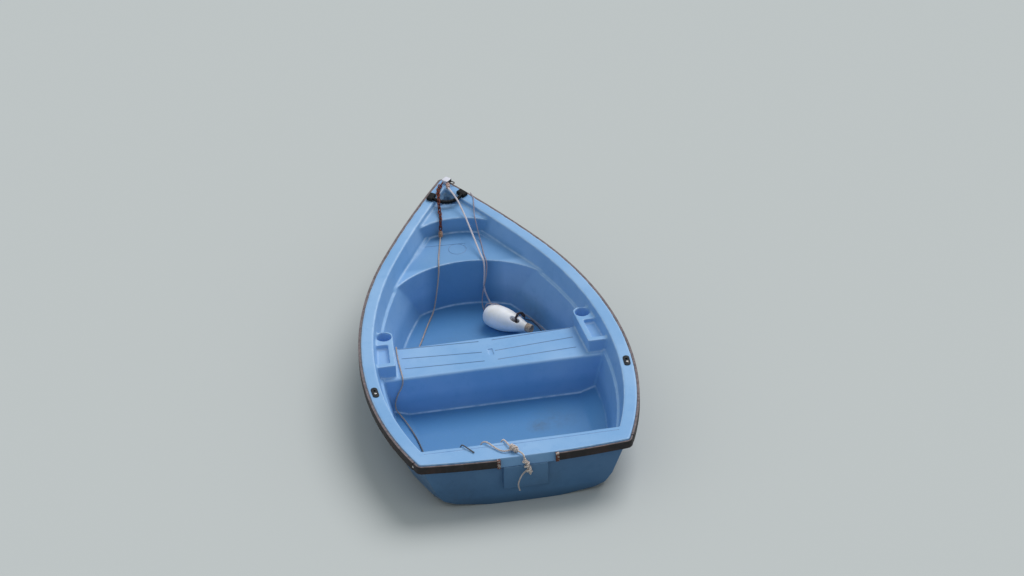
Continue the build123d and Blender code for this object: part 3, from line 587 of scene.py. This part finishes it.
cordRoutes = {
    # each cord: its points in metres, its thickness, and what is tied to it
    "rope_from_chain": {
        "diameter": 0.008, "length": 3.035, "farEnd": "bare", "finish": "greyTanLaidRope", "slot": "pale_rope",
        "knots": ["chain_knot"],
        "points": [
            (0.886, 0.073, 0.271), (0.845, 0.082, 0.268), (0.780, 0.097, 0.268), (0.710, 0.113, 0.268),
            (0.662, 0.121, 0.272), (0.628, 0.127, 0.272), (0.611, 0.132, 0.238), (0.609, 0.138, 0.178),
            (0.606, 0.154, 0.070), (0.592, 0.171, 0.000), (0.545, 0.194, -0.004), (0.450, 0.236, -0.004),
            (0.340, 0.279, -0.004), (0.225, 0.331, -0.004), (0.120, 0.392, -0.004), (0.045, 0.440, -0.004),
            (0.004, 0.457, 0.028), (0.000, 0.461, 0.110), (-0.001, 0.464, 0.175), (-0.003, 0.466, 0.212),
            (-0.014, 0.469, 0.233), (-0.050, 0.473, 0.229), (-0.105, 0.477, 0.227), (-0.180, 0.480, 0.226),
            (-0.255, 0.481, 0.229), (-0.302, 0.483, 0.231), (-0.308, 0.487, 0.185), (-0.305, 0.523, 0.115),
            (-0.307, 0.533, 0.048), (-0.337, 0.508, 0.021), (-0.395, 0.489, 0.014), (-0.470, 0.469, 0.005),
            (-0.555, 0.453, -0.003), (-0.643, 0.446, -0.004), (-0.750, 0.438, -0.004), (-0.855, 0.410, -0.004),
            (-0.945, 0.374, -0.004), (-0.998, 0.347, 0.009), (-1.024, 0.335, 0.075), (-1.046, 0.324, 0.165),
            (-1.071, 0.317, 0.255), (-1.090, 0.311, 0.322), (-1.122, 0.298, 0.333), (-1.155, 0.274, 0.326),
            (-1.182, 0.257, 0.326)],
    },
    "rope_to_float": {
        "diameter": 0.010, "length": 1.125, "farEnd": "knot", "finish": "paleLaidRope", "slot": "pale_rope",
        "knots": ["bow_knot", "float_knot"],
        "points": [
            (1.135, -0.017, 0.410), (1.100, -0.024, 0.414), (1.055, -0.034, 0.415), (1.012, -0.046, 0.408),
            (0.965, -0.057, 0.388), (0.925, -0.066, 0.371), (0.893, -0.072, 0.357), (0.845, -0.081, 0.335),
            (0.765, -0.094, 0.303), (0.705, -0.102, 0.285), (0.664, -0.107, 0.275), (0.630, -0.112, 0.274),
            (0.612, -0.114, 0.240), (0.611, -0.112, 0.175), (0.610, -0.105, 0.105), (0.607, -0.122, 0.045),
            (0.596, -0.139, 0.002), (0.555, -0.160, -0.003), (0.505, -0.190, -0.003), (0.463, -0.228, -0.003),
            (0.432, -0.256, 0.004), (0.404, -0.272, 0.032), (0.384, -0.276, 0.060), (0.358, -0.271, 0.076)],
    },
    "float_line": {
        "diameter": 0.006, "length": 1.690, "farEnd": "bare", "finish": "fadedThinLine", "slot": "pink_line",
        "knots": [],
        "points": [
            (1.088, -0.128, 0.392), (1.056, -0.138, 0.391), (1.008, -0.131, 0.388), (0.968, -0.126, 0.389),
            (0.932, -0.119, 0.369), (0.893, -0.117, 0.361), (0.868, -0.122, 0.322), (0.842, -0.128, 0.280),
            (0.806, -0.131, 0.266), (0.735, -0.128, 0.266), (0.665, -0.124, 0.269), (0.630, -0.127, 0.271),
            (0.611, -0.128, 0.240), (0.597, -0.119, 0.180), (0.595, -0.102, 0.110), (0.596, -0.092, 0.045),
            (0.590, -0.092, 0.003), (0.560, -0.096, -0.0055), (0.520, -0.096, -0.005), (0.482, -0.088, 0.009),
            (0.466, -0.084, 0.052), (0.455, -0.089, 0.108), (0.430, -0.113, 0.121), (0.437, -0.146, 0.110),
            (0.449, -0.178, 0.078), (0.455, -0.206, 0.038), (0.461, -0.240, 0.019), (0.467, -0.275, 0.006),
            (0.471, -0.297, -0.005), (0.452, -0.314, -0.006), (0.410, -0.334, -0.006), (0.350, -0.361, -0.006),
            (0.270, -0.388, -0.006), (0.190, -0.390, -0.006), (0.115, -0.371, -0.006), (0.060, -0.358, -0.006)],
    },
    "float_lanyard": {
        "diameter": 0.006, "length": 0.408, "farEnd": "bare", "finish": "shadedThinLine", "slot": "pink_line",
        "knots": [],
        "points": [
            (0.364, -0.281, 0.062), (0.378, -0.283, 0.042), (0.396, -0.284, 0.022), (0.410, -0.292, 0.006),
            (0.417, -0.308, -0.004), (0.411, -0.324, -0.006), (0.395, -0.331, -0.006), (0.368, -0.341, -0.006),
            (0.335, -0.353, -0.006), (0.270, -0.362, -0.006), (0.185, -0.358, -0.006), (0.120, -0.342, -0.006)],
    },
    "stern_rope_loop": {
        "diameter": 0.010, "length": 0.603, "farEnd": "knot", "finish": "paleTiedRope", "slot": "pale_rope",
        "knots": ["stern_knot"],
        "points": [
            (-1.192, 0.063, 0.335), (-1.162, 0.072, 0.334), (-1.130, 0.080, 0.332), (-1.100, 0.088, 0.327),
            (-1.076, 0.096, 0.298), (-1.062, 0.108, 0.250), (-1.056, 0.132, 0.210), (-1.056, 0.164, 0.200),
            (-1.060, 0.192, 0.226), (-1.070, 0.207, 0.264), (-1.084, 0.206, 0.305), (-1.102, 0.190, 0.332),
            (-1.130, 0.168, 0.334), (-1.162, 0.148, 0.329), (-1.197, 0.124, 0.328), (-1.216, 0.095, 0.330),
            (-1.208, 0.058, 0.335)],
    },
    "stern_rope_link": {
        "diameter": 0.010, "length": 0.084, "farEnd": "knot", "finish": "paleTiedRope", "slot": "pale_rope",
        "knots": ["stern_hanging_knot"],
        "points": [
            (-1.222, 0.041, 0.335), (-1.238, 0.027, 0.334), (-1.258, 0.014, 0.333), (-1.273, 0.009, 0.320),
            (-1.274, 0.008, 0.300)],
    },
    "stern_rope_end": {
        "diameter": 0.008, "length": 0.136, "farEnd": "bare", "finish": "paleTiedRope", "slot": "pale_rope",
        "knots": [],
        "points": [
            (-1.275, 0.000, 0.236), (-1.278, 0.022, 0.222), (-1.280, 0.040, 0.188), (-1.280, 0.050, 0.150),
            (-1.279, 0.040, 0.118)],
    },
}
ropeLay = {
    "sections": 14,            # rings in one turn of the strands
    "turn": 3.4,               # diameters from turn to turn
    "strandRadius": 0.4641,    # of three strands that touch, in rope radii
    "strandCentre": 0.5359,
    "corners": (-60, -36, -12, 12, 36),   # degrees from the middle of a strand, which spans 120
    "endBulge": 0.12,          # diameters
    "smoothAngle": 50,
    "routeSteps": 8,           # points read for each point of a route
    "knotSteps": 6,
}


def routePoints(points, steps):
    # the line of a NURBS spline through the given control points, read back as points
    curve = bpy.data.curves.new("route", "CURVE")
    curve.dimensions = "3D"
    curve.resolution_u = steps
    spline = curve.splines.new("NURBS")
    spline.points.add(len(points) - 1)
    for handle, spot in zip(spline.points, points):
        handle.co = (*spot, 1)
    spline.order_u = 3
    spline.use_endpoint_u = True
    guide = bpy.data.objects.new("route", curve)
    bpy.context.collection.objects.link(guide)
    bpy.context.view_layer.update()
    line = bpy.data.meshes.new_from_object(guide.evaluated_get(bpy.context.evaluated_depsgraph_get()))
    read = [vertex.co.copy() for vertex in line.vertices]
    bpy.data.meshes.remove(line)
    bpy.data.objects.remove(guide)
    bpy.data.curves.remove(curve)
    return read


def evenly(points, step):
    # the same line in equal steps
    total = sum((b - a).length for a, b in zip(points, points[1:]))
    count = max(4, round(total / step))
    gap, spaced, walked = total / count, [points[0]], 0.0
    for a, b in zip(points, points[1:]):
        run = (b - a).length
        while run > 0 and len(spaced) * gap <= walked + run + 1e-9 and len(spaced) < count:
            spaced.append(a.lerp(b, (len(spaced) * gap - walked) / run))
        walked += run
    return spaced + [points[-1]]


def laidRope(name, points, diameter):
    # three strands laid round each other along the points
    look = ropeLay
    turn = look["turn"] * diameter
    spots = evenly(points, turn / look["sections"])
    outline = []
    for strand in range(3):
        for degrees in look["corners"]:
            slope = math.radians(degrees)
            across = look["strandCentre"] * math.sin(slope)
            out = look["strandCentre"] * math.cos(slope) + math.sqrt(max(0, look["strandRadius"] ** 2 - across ** 2))
            outline.append((slope + strand * 2 * math.pi / 3, out, strand + (degrees + 60) / 120))
    vertices, faces, lays = [], [], []
    ahead = (spots[1] - spots[0]).normalized()
    side = ahead.orthogonal().normalized()
    walked, around = 0.0, len(outline)
    for index, spot in enumerate(spots):
        before, after = spots[max(0, index - 1)], spots[min(len(spots) - 1, index + 1)]
        toward = (after - before).normalized()
        side = ahead.rotation_difference(toward) @ side
        side = (side - toward * side.dot(toward)).normalized()
        ahead = toward
        up = ahead.cross(side)
        if index:
            walked += (spot - spots[index - 1]).length
        twist = 2 * math.pi * walked / turn
        for angle, out, lay in outline:
            reach = out * diameter / 2
            vertices.append(spot + (side * math.cos(angle + twist) + up * math.sin(angle + twist)) * reach)
            lays.append((walked / turn, lay))
    for ring in range(len(spots) - 1):
        for corner in range(around):
            first, second = ring * around + corner, ring * around + (corner + 1) % around
            faces.append((first, second, second + around, first + around))
    for ring, order in ((0, -1), (len(spots) - 1, 1)):
        hub = len(vertices)
        outwards = (spots[ring] - spots[ring - order]).normalized()
        vertices.append(spots[ring] + outwards * look["endBulge"] * diameter)
        lays.append((0, 0.5))
        for corner in range(around):
            first, second = ring * around + corner, ring * around + (corner + 1) % around
            faces.append((first, second, hub) if order > 0 else (second, first, hub))
    mesh = bpy.data.meshes.new(name)
    mesh.from_pydata(vertices, [], faces)
    layer = mesh.uv_layers.new(name="lay")
    for loop in mesh.loops:
        layer.data[loop.index].uv = lays[loop.vertex_index]
    rope = bpy.data.objects.new(name, mesh)
    bpy.context.collection.objects.link(rope)
    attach(rope, "root")
    smoothByAngle(rope, look["smoothAngle"])
    return rope


knotRows = {
    # the line through each knot: two ends and the thickness in metres
    "chain_knot": {
        "from": (0.896, 0.070, 0.2635), "to": (0.896, 0.070, 0.301), "radius": 0.0130, "finish": "rustStainedRope"},
    "bow_knot": {
        "from": (1.172, -0.020, 0.411), "to": (1.132, -0.017, 0.4095), "radius": 0.0125, "finish": "pinkishLaidRope"},
    "float_knot": {
        "from": (0.362, -0.279, 0.060), "to": (0.348, -0.263, 0.089), "radius": 0.0098, "finish": "wetDarkRope"},
    "stern_knot": {
        "from": (-1.186, 0.068, 0.339), "to": (-1.230, 0.036, 0.340), "radius": 0.0205, "finish": "paleTiedRope"},
    "stern_hanging_knot": {
        "from": (-1.2735, 0.009, 0.312), "to": (-1.2705, -0.020, 0.208), "radius": 0.0200, "finish": "paleTiedRope"},
}
knotForm = {
    # turns round the standing part, in knot radii, with half the knot's length as 1 along the first axis
    "thickness": 0.37,
    "core": [(-1.0, 0.0, 0.0), (-0.5, 0.05, 0.0), (0.0, -0.05, 0.0), (0.5, 0.05, 0.0), (1.0, 0.0, 0.0)],
    "turns": [
        (-0.72, 0.15, 0.25), (-0.74, 0.55, 0.48), (-0.66, -0.52, 0.56), (-0.50, -0.56, -0.52), (-0.36, 0.54, -0.56),
        (-0.22, 0.56, 0.54), (-0.06, -0.54, 0.56), (0.10, -0.56, -0.54), (0.24, 0.54, -0.56), (0.38, 0.56, 0.52),
        (0.50, -0.52, 0.56), (0.62, -0.54, -0.50), (0.70, 0.40, -0.56), (0.74, 0.50, 0.10), (0.66, 0.15, 0.22)],
}
lashing = {
    # the dark line that goes from the float's knot over its shoulder and through its handle
    "knot": "float_knot",
    "diameter": 0.0145,
    "points": [
        (0.360, -0.271, 0.078), (0.350, -0.264, 0.092), (0.337, -0.251, 0.102), (0.324, -0.239, 0.106),
        (0.312, -0.228, 0.102), (0.307, -0.223, 0.085), (0.309, -0.224, 0.060), (0.312, -0.227, 0.040)],
}


def tiedKnot(name, finishes):
    # a knot of wrapped turns, tied from the same form at each knot's size
    look, steps = knotRows[name], ropeLay["knotSteps"]
    start, end = Vector(look["from"]), Vector(look["to"])
    half, radius = (end - start) / 2, look["radius"]
    side = half.orthogonal().normalized()
    up = half.normalized().cross(side)
    parts = []
    for part in ("core", "turns"):
        spots = [(start + end) / 2 + half * x + (side * y + up * z) * radius for x, y, z in knotForm[part]]
        parts.append(laidRope(name + "_" + part, routePoints(spots, steps), 2 * knotForm["thickness"] * radius))
    if name == lashing["knot"]:
        parts.append(laidRope("lashing", routePoints(lashing["points"], steps), lashing["diameter"]))
    knot = joined(parts, name + "_tied")
    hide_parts(name)
    return dress(knot, finishes[look["finish"]])


def makeCords():
    finishes = {name: ropeFibre(name) for name in ropeFinishes}
    knots = {name: tiedKnot(name, finishes) for name in knotRows}
    for name, look in cordRoutes.items():
        line = routePoints(look["points"], ropeLay["routeSteps"])
        rope = laidRope(name + "_strands", line, look["diameter"])
        dress(rope, finishes[look["finish"]])
        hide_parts(name)


innerMoulding = {
    "sources": (
        "gunwale_port", "gunwale_starboard", "transom_cap", "bow_seat", "foredeck", "floor_pan", "transom_wall",
        "side_wall_port", "side_wall_starboard", "thwart", "console_port", "console_starboard"),
    "voxel": 0.005,
    "quickVoxel": 0.008,
    "rounds": 7,               # of smoothing, which gives the edges about 8 mm of radius
    "triangles": 150000,
    "smoothAngle": 40,
    "seatTop": 0.220,
    "grooveRadius": 0.0042,
    "grooveLift": 0.0012,      # of the groove's middle above the surface
    "grooves": [
        # two ends of each groove in the thwart: x, y
        ((-0.022, 0.455), (-0.043, 0.038)), ((-0.111, 0.455), (-0.143, 0.038)), ((-0.205, 0.455), (-0.225, 0.038)),
        ((-0.022, -0.455), (-0.043, -0.038)), ((-0.111, -0.455), (-0.143, -0.038)),
        ((-0.205, -0.455), (-0.225, -0.038))],
    "capGroove": [
        (-1.136, 0.512), (-1.1385, 0.36), (-1.140, 0.19), (-1.141, 0.0), (-1.140, -0.19), (-1.1385, -0.36),
        (-1.136, -0.512)],
    "pocket": {"spot": (-0.150, -0.012, 0.220), "size": (0.060, 0.026, 0.012), "corner": 0.004},
    "ring": {"spot": (0.768, 0.004, 0.2628), "radius": 0.047, "wire": 0.0026},
    "crease": ((0.824, 0.167, 0.262), (0.814, -0.047, 0.262)),
    "creaseRadius": 0.002,
}


def bar(start, end, radius):
    # a bar with rounded ends between two points, as a tool cuts its groove
    start, end = Vector(start), Vector(end)
    long = (end - start).length
    clearAll()
    bpy.ops.mesh.primitive_uv_sphere_add(segments=20, ring_count=12, radius=radius)
    tool = bpy.context.object
    for vertex in tool.data.vertices:
        if vertex.co.z > 0:
            vertex.co.z += long
    return seat(tool, frameFrom(start - end, (0, 0, 1), start) @ Matrix.Rotation(math.radians(-90), 4, "Y"))


def block(spot, size):
    clearAll()
    bpy.ops.mesh.primitive_cube_add(size=1, location=spot)
    tool = bpy.context.object
    tool.scale = size
    bpy.ops.object.transform_apply(location=True, scale=True)
    return tool


def surfaceUnder(piece, x, y):
    # height of the piece's top at a point
    return piece.ray_cast((x, y, 1.0), (0, 0, -1))[1].z


def makeInnerMoulding(paint):
    # floor, seats, sides and rim are one skin on the real boat, so their copies are grown together
    look = innerMoulding
    piece = standFor(meshCopy("inner_moulding", *look["sources"]), *look["sources"])
    voxel = look["voxel"]
    applyModifier(piece, "REMESH", mode="VOXEL", voxel_size=voxel, use_smooth_shade=True)
    applyModifier(piece, "SMOOTH", factor=0.5, iterations=look["rounds"])
    triangles = sum(len(f.vertices) - 2 for f in piece.data.polygons)
    applyModifier(piece, "DECIMATE", ratio=min(1, look["triangles"] / triangles))
    top, radius = look["seatTop"] + look["grooveLift"], look["grooveRadius"]
    tools = [bar((*start, top), (*end, top), radius) for start, end in look["grooves"]]
    tools.append(bar(*look["crease"], look["creaseRadius"]))
    pocket = block(look["pocket"]["spot"], look["pocket"]["size"])
    applyModifier(pocket, "BEVEL", width=look["pocket"]["corner"], segments=3, limit_method="NONE")
    tools.append(pocket)
    clearAll()
    bpy.ops.mesh.primitive_torus_add(
        location=look["ring"]["spot"], major_radius=look["ring"]["radius"], minor_radius=look["ring"]["wire"],
        major_segments=48, minor_segments=10)
    tools.append(bpy.context.object)
    bpy.ops.object.transform_apply(location=True)
    spots = [(x, y, surfaceUnder(piece, x, y) + look["grooveLift"]) for x, y in look["capGroove"]]
    tools += [bar(start, end, radius) for start, end in zip(spots, spots[1:])]
    bpy.context.view_layer.update()
    cutAway(piece, tools)
    smoothByAngle(piece, look["smoothAngle"])
    dress(piece, paint)


roundedPieces = {
    # each piece: its CAD node, the bevel's width in metres and segments, its finish, its slot
    "outer_hull": ("hull_shell", 0.012, 3, "shadedOutsidePolyethylene", "hull"),
    "keel_runners": ("hull_runners", 0.006, 3, "shadedOutsidePolyethylene", "hull"),
    "pad_moulding": ("motor_pad", 0.006, 3, "shadedOutsidePolyethylene", "hull"),
    "handle_strap": ("handle_grip", 0.0015, 2, "mouldedBlackRubber", "handle_rubber"),
}
roundedPairs = {
    # the same for what is there on both sides: its CAD nodes start so and its pieces end so
    ("rub_rail", "extrusion"): (0.006, 4, "weatheredRubber", "rail_rubber"),
    ("stern_rail", "extrusion"): (0.006, 4, "weatheredRubber", "rail_rubber"),
    ("rowlock_bush", "moulding"): (0.001, 2, "mouldedNylon", "bush_plastic"),
    ("rail_end_clamp", "sheet"): (0.0006, 2, "flakedZinc", "rusted_steel"),
    ("handle_block", "moulding"): (0.003, 3, "mouldedBlackRubber", "handle_rubber"),
}
flatAngle = 0.5                # degrees under which a CAD node's triangles are one face


def rounded(name, source, width, segments, bevelFrom=30, smoothUnder=35):
    # a copy of a CAD node with rounded edges
    piece = standFor(meshCopy(name, source), source)
    editAll()
    bpy.ops.mesh.dissolve_limited(angle_limit=math.radians(flatAngle))
    bpy.ops.object.mode_set(mode="OBJECT")
    applyModifier(
        piece, "BEVEL", width=width, segments=segments, limit_method="ANGLE", angle_limit=math.radians(bevelFrom),
        harden_normals=False)
    smoothByAngle(piece, smoothUnder)
    return piece


def makeRoundedPieces(finishes):
    pieces = dict(roundedPieces)
    for (start, end), form in roundedPairs.items():
        for source in (start + "_port", start + "_starboard"):
            pieces[source + "_" + end] = (source, *form)
    for name, (source, width, segments, finish, slot) in pieces.items():
        dress(rounded(name, source, width, segments), finishes[finish])


chainLink = {
    "long": 0.036,
    "wide": 0.0245,
    "wire": 0.007,
    "smoothAngle": 60,
}


def makeChain(paint):
    # one welded link, copied to where the source's links lie
    look = chainLink
    clearAll()
    bpy.ops.mesh.primitive_torus_add(
        major_radius=(look["wide"] - look["wire"]) / 2, minor_radius=look["wire"] / 2,
        major_segments=20, minor_segments=10)
    link = bpy.context.object
    stretch = (look["long"] - look["wide"]) / 2
    for vertex in link.data.vertices:
        if abs(vertex.co.x) > 0.0001:
            vertex.co.x += math.copysign(stretch, vertex.co.x)
    meshCopy("chainGuide", "mooring_chain")
    bpy.ops.mesh.separate(type="LOOSE")
    guides = list(bpy.context.selected_objects)
    links = []
    for guide in guides:
        corners = [vertex.co.copy() for vertex in guide.data.vertices]
        middle = middleOf(corners)
        along = max((c - middle for c in corners), key=lambda v: v.length)
        far = max((c - middle for c in corners), key=lambda v: (v - v.project(along)).length)
        links.append(seat(copyOf(link), frameFrom(along, along.cross(far), middle)))
    for spare in guides + [link]:
        bpy.data.objects.remove(spare)
    chain = standFor(joined(links, "rusted_chain"), "mooring_chain")
    smoothByAngle(chain, look["smoothAngle"])
    dress(chain, paint)


floatJug = {
    "spot": (0.446, -0.087, 0.0530),
    "heading": -133.6,         # degrees, from the base to the neck
    "tilt": 25,                # of the handle about the jug's axis
    "sections": [
        # distance from the base and radius, in metres
        (-0.002, 0.018), (0.001, 0.0320), (0.010, 0.0455), (0.028, 0.0560), (0.050, 0.0616), (0.072, 0.0640),
        (0.095, 0.0645), (0.122, 0.0622), (0.150, 0.0570), (0.180, 0.0485), (0.208, 0.0392), (0.232, 0.0302),
        (0.248, 0.0245), (0.262, 0.0210)],
    "slot": {"at": (0, 0, 0.194), "size": (0.2, 0.026, 0.052), "corner": 0.012},
    "voxel": 0.0018,
    "rounds": 8,
    "smoothAngle": 60,
}
floatCap = {
    "start": 0.258,
    "long": 0.031,
    "radius": 0.0226,
    "ribs": 28,
    "ribHeight": 0.0012,
    "ribGap": 0.0004,
    "wall": 0.0035,
    "hollow": 0.008,
    "edge": 0.0004,
    "smoothAngle": 40,
}


def jugSeat():
    heading = math.radians(floatJug["heading"])
    lying = frameFrom((math.cos(heading), math.sin(heading), 0), (0, 0, 1), floatJug["spot"])
    return lying @ Matrix.Rotation(math.radians(90), 4, "Y")


def makeJug(paint):
    look = floatJug
    start, radius = look["sections"][0]
    clearAll()
    bpy.ops.mesh.primitive_circle_add(vertices=64, radius=radius, fill_type="NGON", location=(0, 0, start))
    jug = bpy.context.object
    jug.name = "blown_float"
    bpy.ops.object.transform_apply(location=True)
    editAll()
    for (at, radius), (nextAt, nextRadius) in zip(look["sections"], look["sections"][1:]):
        bpy.ops.mesh.extrude_region_move(TRANSFORM_OT_translate={"value": (0, 0, nextAt - at)})
        scale = nextRadius / radius
        bpy.ops.transform.resize(value=(scale, scale, 1), center_override=(0, 0, nextAt))
    bpy.ops.mesh.select_all(action="SELECT")
    bpy.ops.mesh.normals_make_consistent(inside=False)
    bpy.ops.object.mode_set(mode="OBJECT")
    # the hand hole goes through beside the axis
    tool = block((0, 0, 0), look["slot"]["size"])
    applyModifier(tool, "BEVEL", width=look["slot"]["corner"], segments=5, limit_method="NONE")
    seat(tool, Matrix.Rotation(math.radians(look["tilt"]), 4, "Z") @ Matrix.Translation(look["slot"]["at"]))
    cutAway(jug, [tool])
    applyModifier(jug, "REMESH", mode="VOXEL", voxel_size=look["voxel"], use_smooth_shade=True)
    applyModifier(jug, "SMOOTH", factor=0.5, iterations=look["rounds"])
    smoothByAngle(jug, look["smoothAngle"])
    dress(standFor(seat(jug, jugSeat()), "float_body"), paint)


def makeCap(paint):
    look = floatCap
    clearAll()
    bpy.ops.mesh.primitive_cylinder_add(
        vertices=2 * look["ribs"], radius=look["radius"], depth=look["long"], end_fill_type="NGON",
        location=(0, 0, look["start"] + look["long"] / 2))
    cap = bpy.context.object
    cap.name = "ribbed_cap"
    bpy.ops.object.transform_apply(location=True)
    editNone()
    walls = [face for face in cap.data.polygons if abs(face.normal.z) < 0.5]
    walls.sort(key=lambda face: math.atan2(face.normal.y, face.normal.x))
    for face in walls[::2]:
        face.select = True
    bpy.ops.object.mode_set(mode="EDIT")
    bpy.ops.mesh.inset(thickness=look["ribGap"], use_individual=True)
    bpy.ops.mesh.extrude_faces_move(TRANSFORM_OT_shrink_fatten={"value": look["ribHeight"]})
    editNone()
    max((f for f in cap.data.polygons if f.normal.z > 0.5), key=lambda f: f.center.z).select = True
    bpy.ops.object.mode_set(mode="EDIT")
    bpy.ops.mesh.inset(thickness=look["wall"])
    bpy.ops.mesh.extrude_region_move(TRANSFORM_OT_translate={"value": (0, 0, -look["hollow"])})
    bpy.ops.object.mode_set(mode="OBJECT")
    applyModifier(cap, "BEVEL", width=look["edge"], segments=2, limit_method="ANGLE", angle_limit=math.radians(35))
    seat(cap, jugSeat())
    smoothByAngle(cap, look["smoothAngle"])
    dress(standFor(cap, "float_cap"), paint)


padlockLook = {
    "caseEdge": (0.004, 4),    # width in metres and segments of its rounding
    "bowEdge": (0.0008, 2),
    "bandPart": 0.24,          # of the case's length, dark at the shackle's end
}


def makePadlock(cover, base, steel):
    look = padlockLook
    case = dress(rounded("padlock_cover", "padlock_case", *look["caseEdge"], bevelFrom=40), cover)
    case.data.materials.append(base)
    bow = rounded("padlock_bow", "padlock_shackle", *look["bowEdge"], bevelFrom=25, smoothUnder=50)
    dress(bow, steel)
    corners = [vertex.co for vertex in case.data.vertices]
    middle = middleOf(corners)
    toward = (middleOf([vertex.co for vertex in bow.data.vertices]) - middle).normalized()
    reach = max((c - middle).dot(toward) for c in corners)
    edge = reach - 2 * reach * look["bandPart"]
    for face in case.data.polygons:
        if (face.center - middle).dot(toward) > edge:
            face.material_index = 1


screwLook = {
    "radius": 0.0065,
    "height": 0.0028,
    "edge": 0.0012,
    "recess": [(0.0062, 0.0011, 0.003), (0.0011, 0.0062, 0.003)],
    "smoothAngle": 35,
    "bushX": -0.551,           # on each rowlock bush, aft of its hole
    "bushFacing": (-0.017, 0.0, 1.0),
    "railSpot": (-1.190, 0.582, 0.290),
    "railFacing": (-0.357, 0.934, 0.0),
}


def makeScrews(paint):
    # a pan head with a cross recess, modelled once
    look = screwLook
    clearAll()
    bpy.ops.mesh.primitive_cylinder_add(vertices=24, radius=look["radius"], depth=look["height"], end_fill_type="NGON")
    screw = bpy.context.object
    applyModifier(screw, "BEVEL", width=look["edge"], segments=3, limit_method="ANGLE", angle_limit=math.radians(50))
    cutAway(screw, [block((0, 0, look["height"] / 2), size) for size in look["recess"]])
    seats = [(look["railSpot"], look["railFacing"])]
    for bush in ("rowlock_bush_port", "rowlock_bush_starboard"):
        low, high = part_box(bush)
        seats.append(((look["bushX"], (low[1] + high[1]) / 2, high[2]), look["bushFacing"]))
    heads = []
    for spot, facing in seats:
        turn = Vector(facing).to_track_quat("Z", "Y").to_matrix().to_4x4()
        heads.append(seat(copyOf(screw), Matrix.Translation(spot) @ turn))
    bpy.data.objects.remove(screw)
    screws = joined(heads, "screw_heads")
    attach(screws, "root")
    smoothByAngle(screws, look["smoothAngle"])
    dress(screws, paint)


makeStage()
placeCamera()
print("stage and camera placed")
makeCords()
print("ropes laid and knots tied")
finishes = {name: makeFinish(name) for name in finishLooks}
# the outer hull, runners and pad: painted shade over the same plastic
finishes["shadedOutsidePolyethylene"] = hullPlastic("shadedOutsidePolyethylene", shadedOutsideHull)
makeInnerMoulding(hullPlastic("rotomouldedPolyethylene", mouldedHull))
print("inner moulding grown")
makeRoundedPieces(finishes)
print("hull, rails, clamps and handle dressed")
makeChain(finishes["rustedSteel"])
makeJug(finishes["blownPolyethylene"])
makeCap(finishes["mouldedBeigeCap"])
makePadlock(finishes["whiteCover"], finishes["darkBase"], drawnSteel("dulledPlatedSteel"))
makeScrews(drawnSteel("stainlessSteel"))
print("chain, float, padlock and screws made")
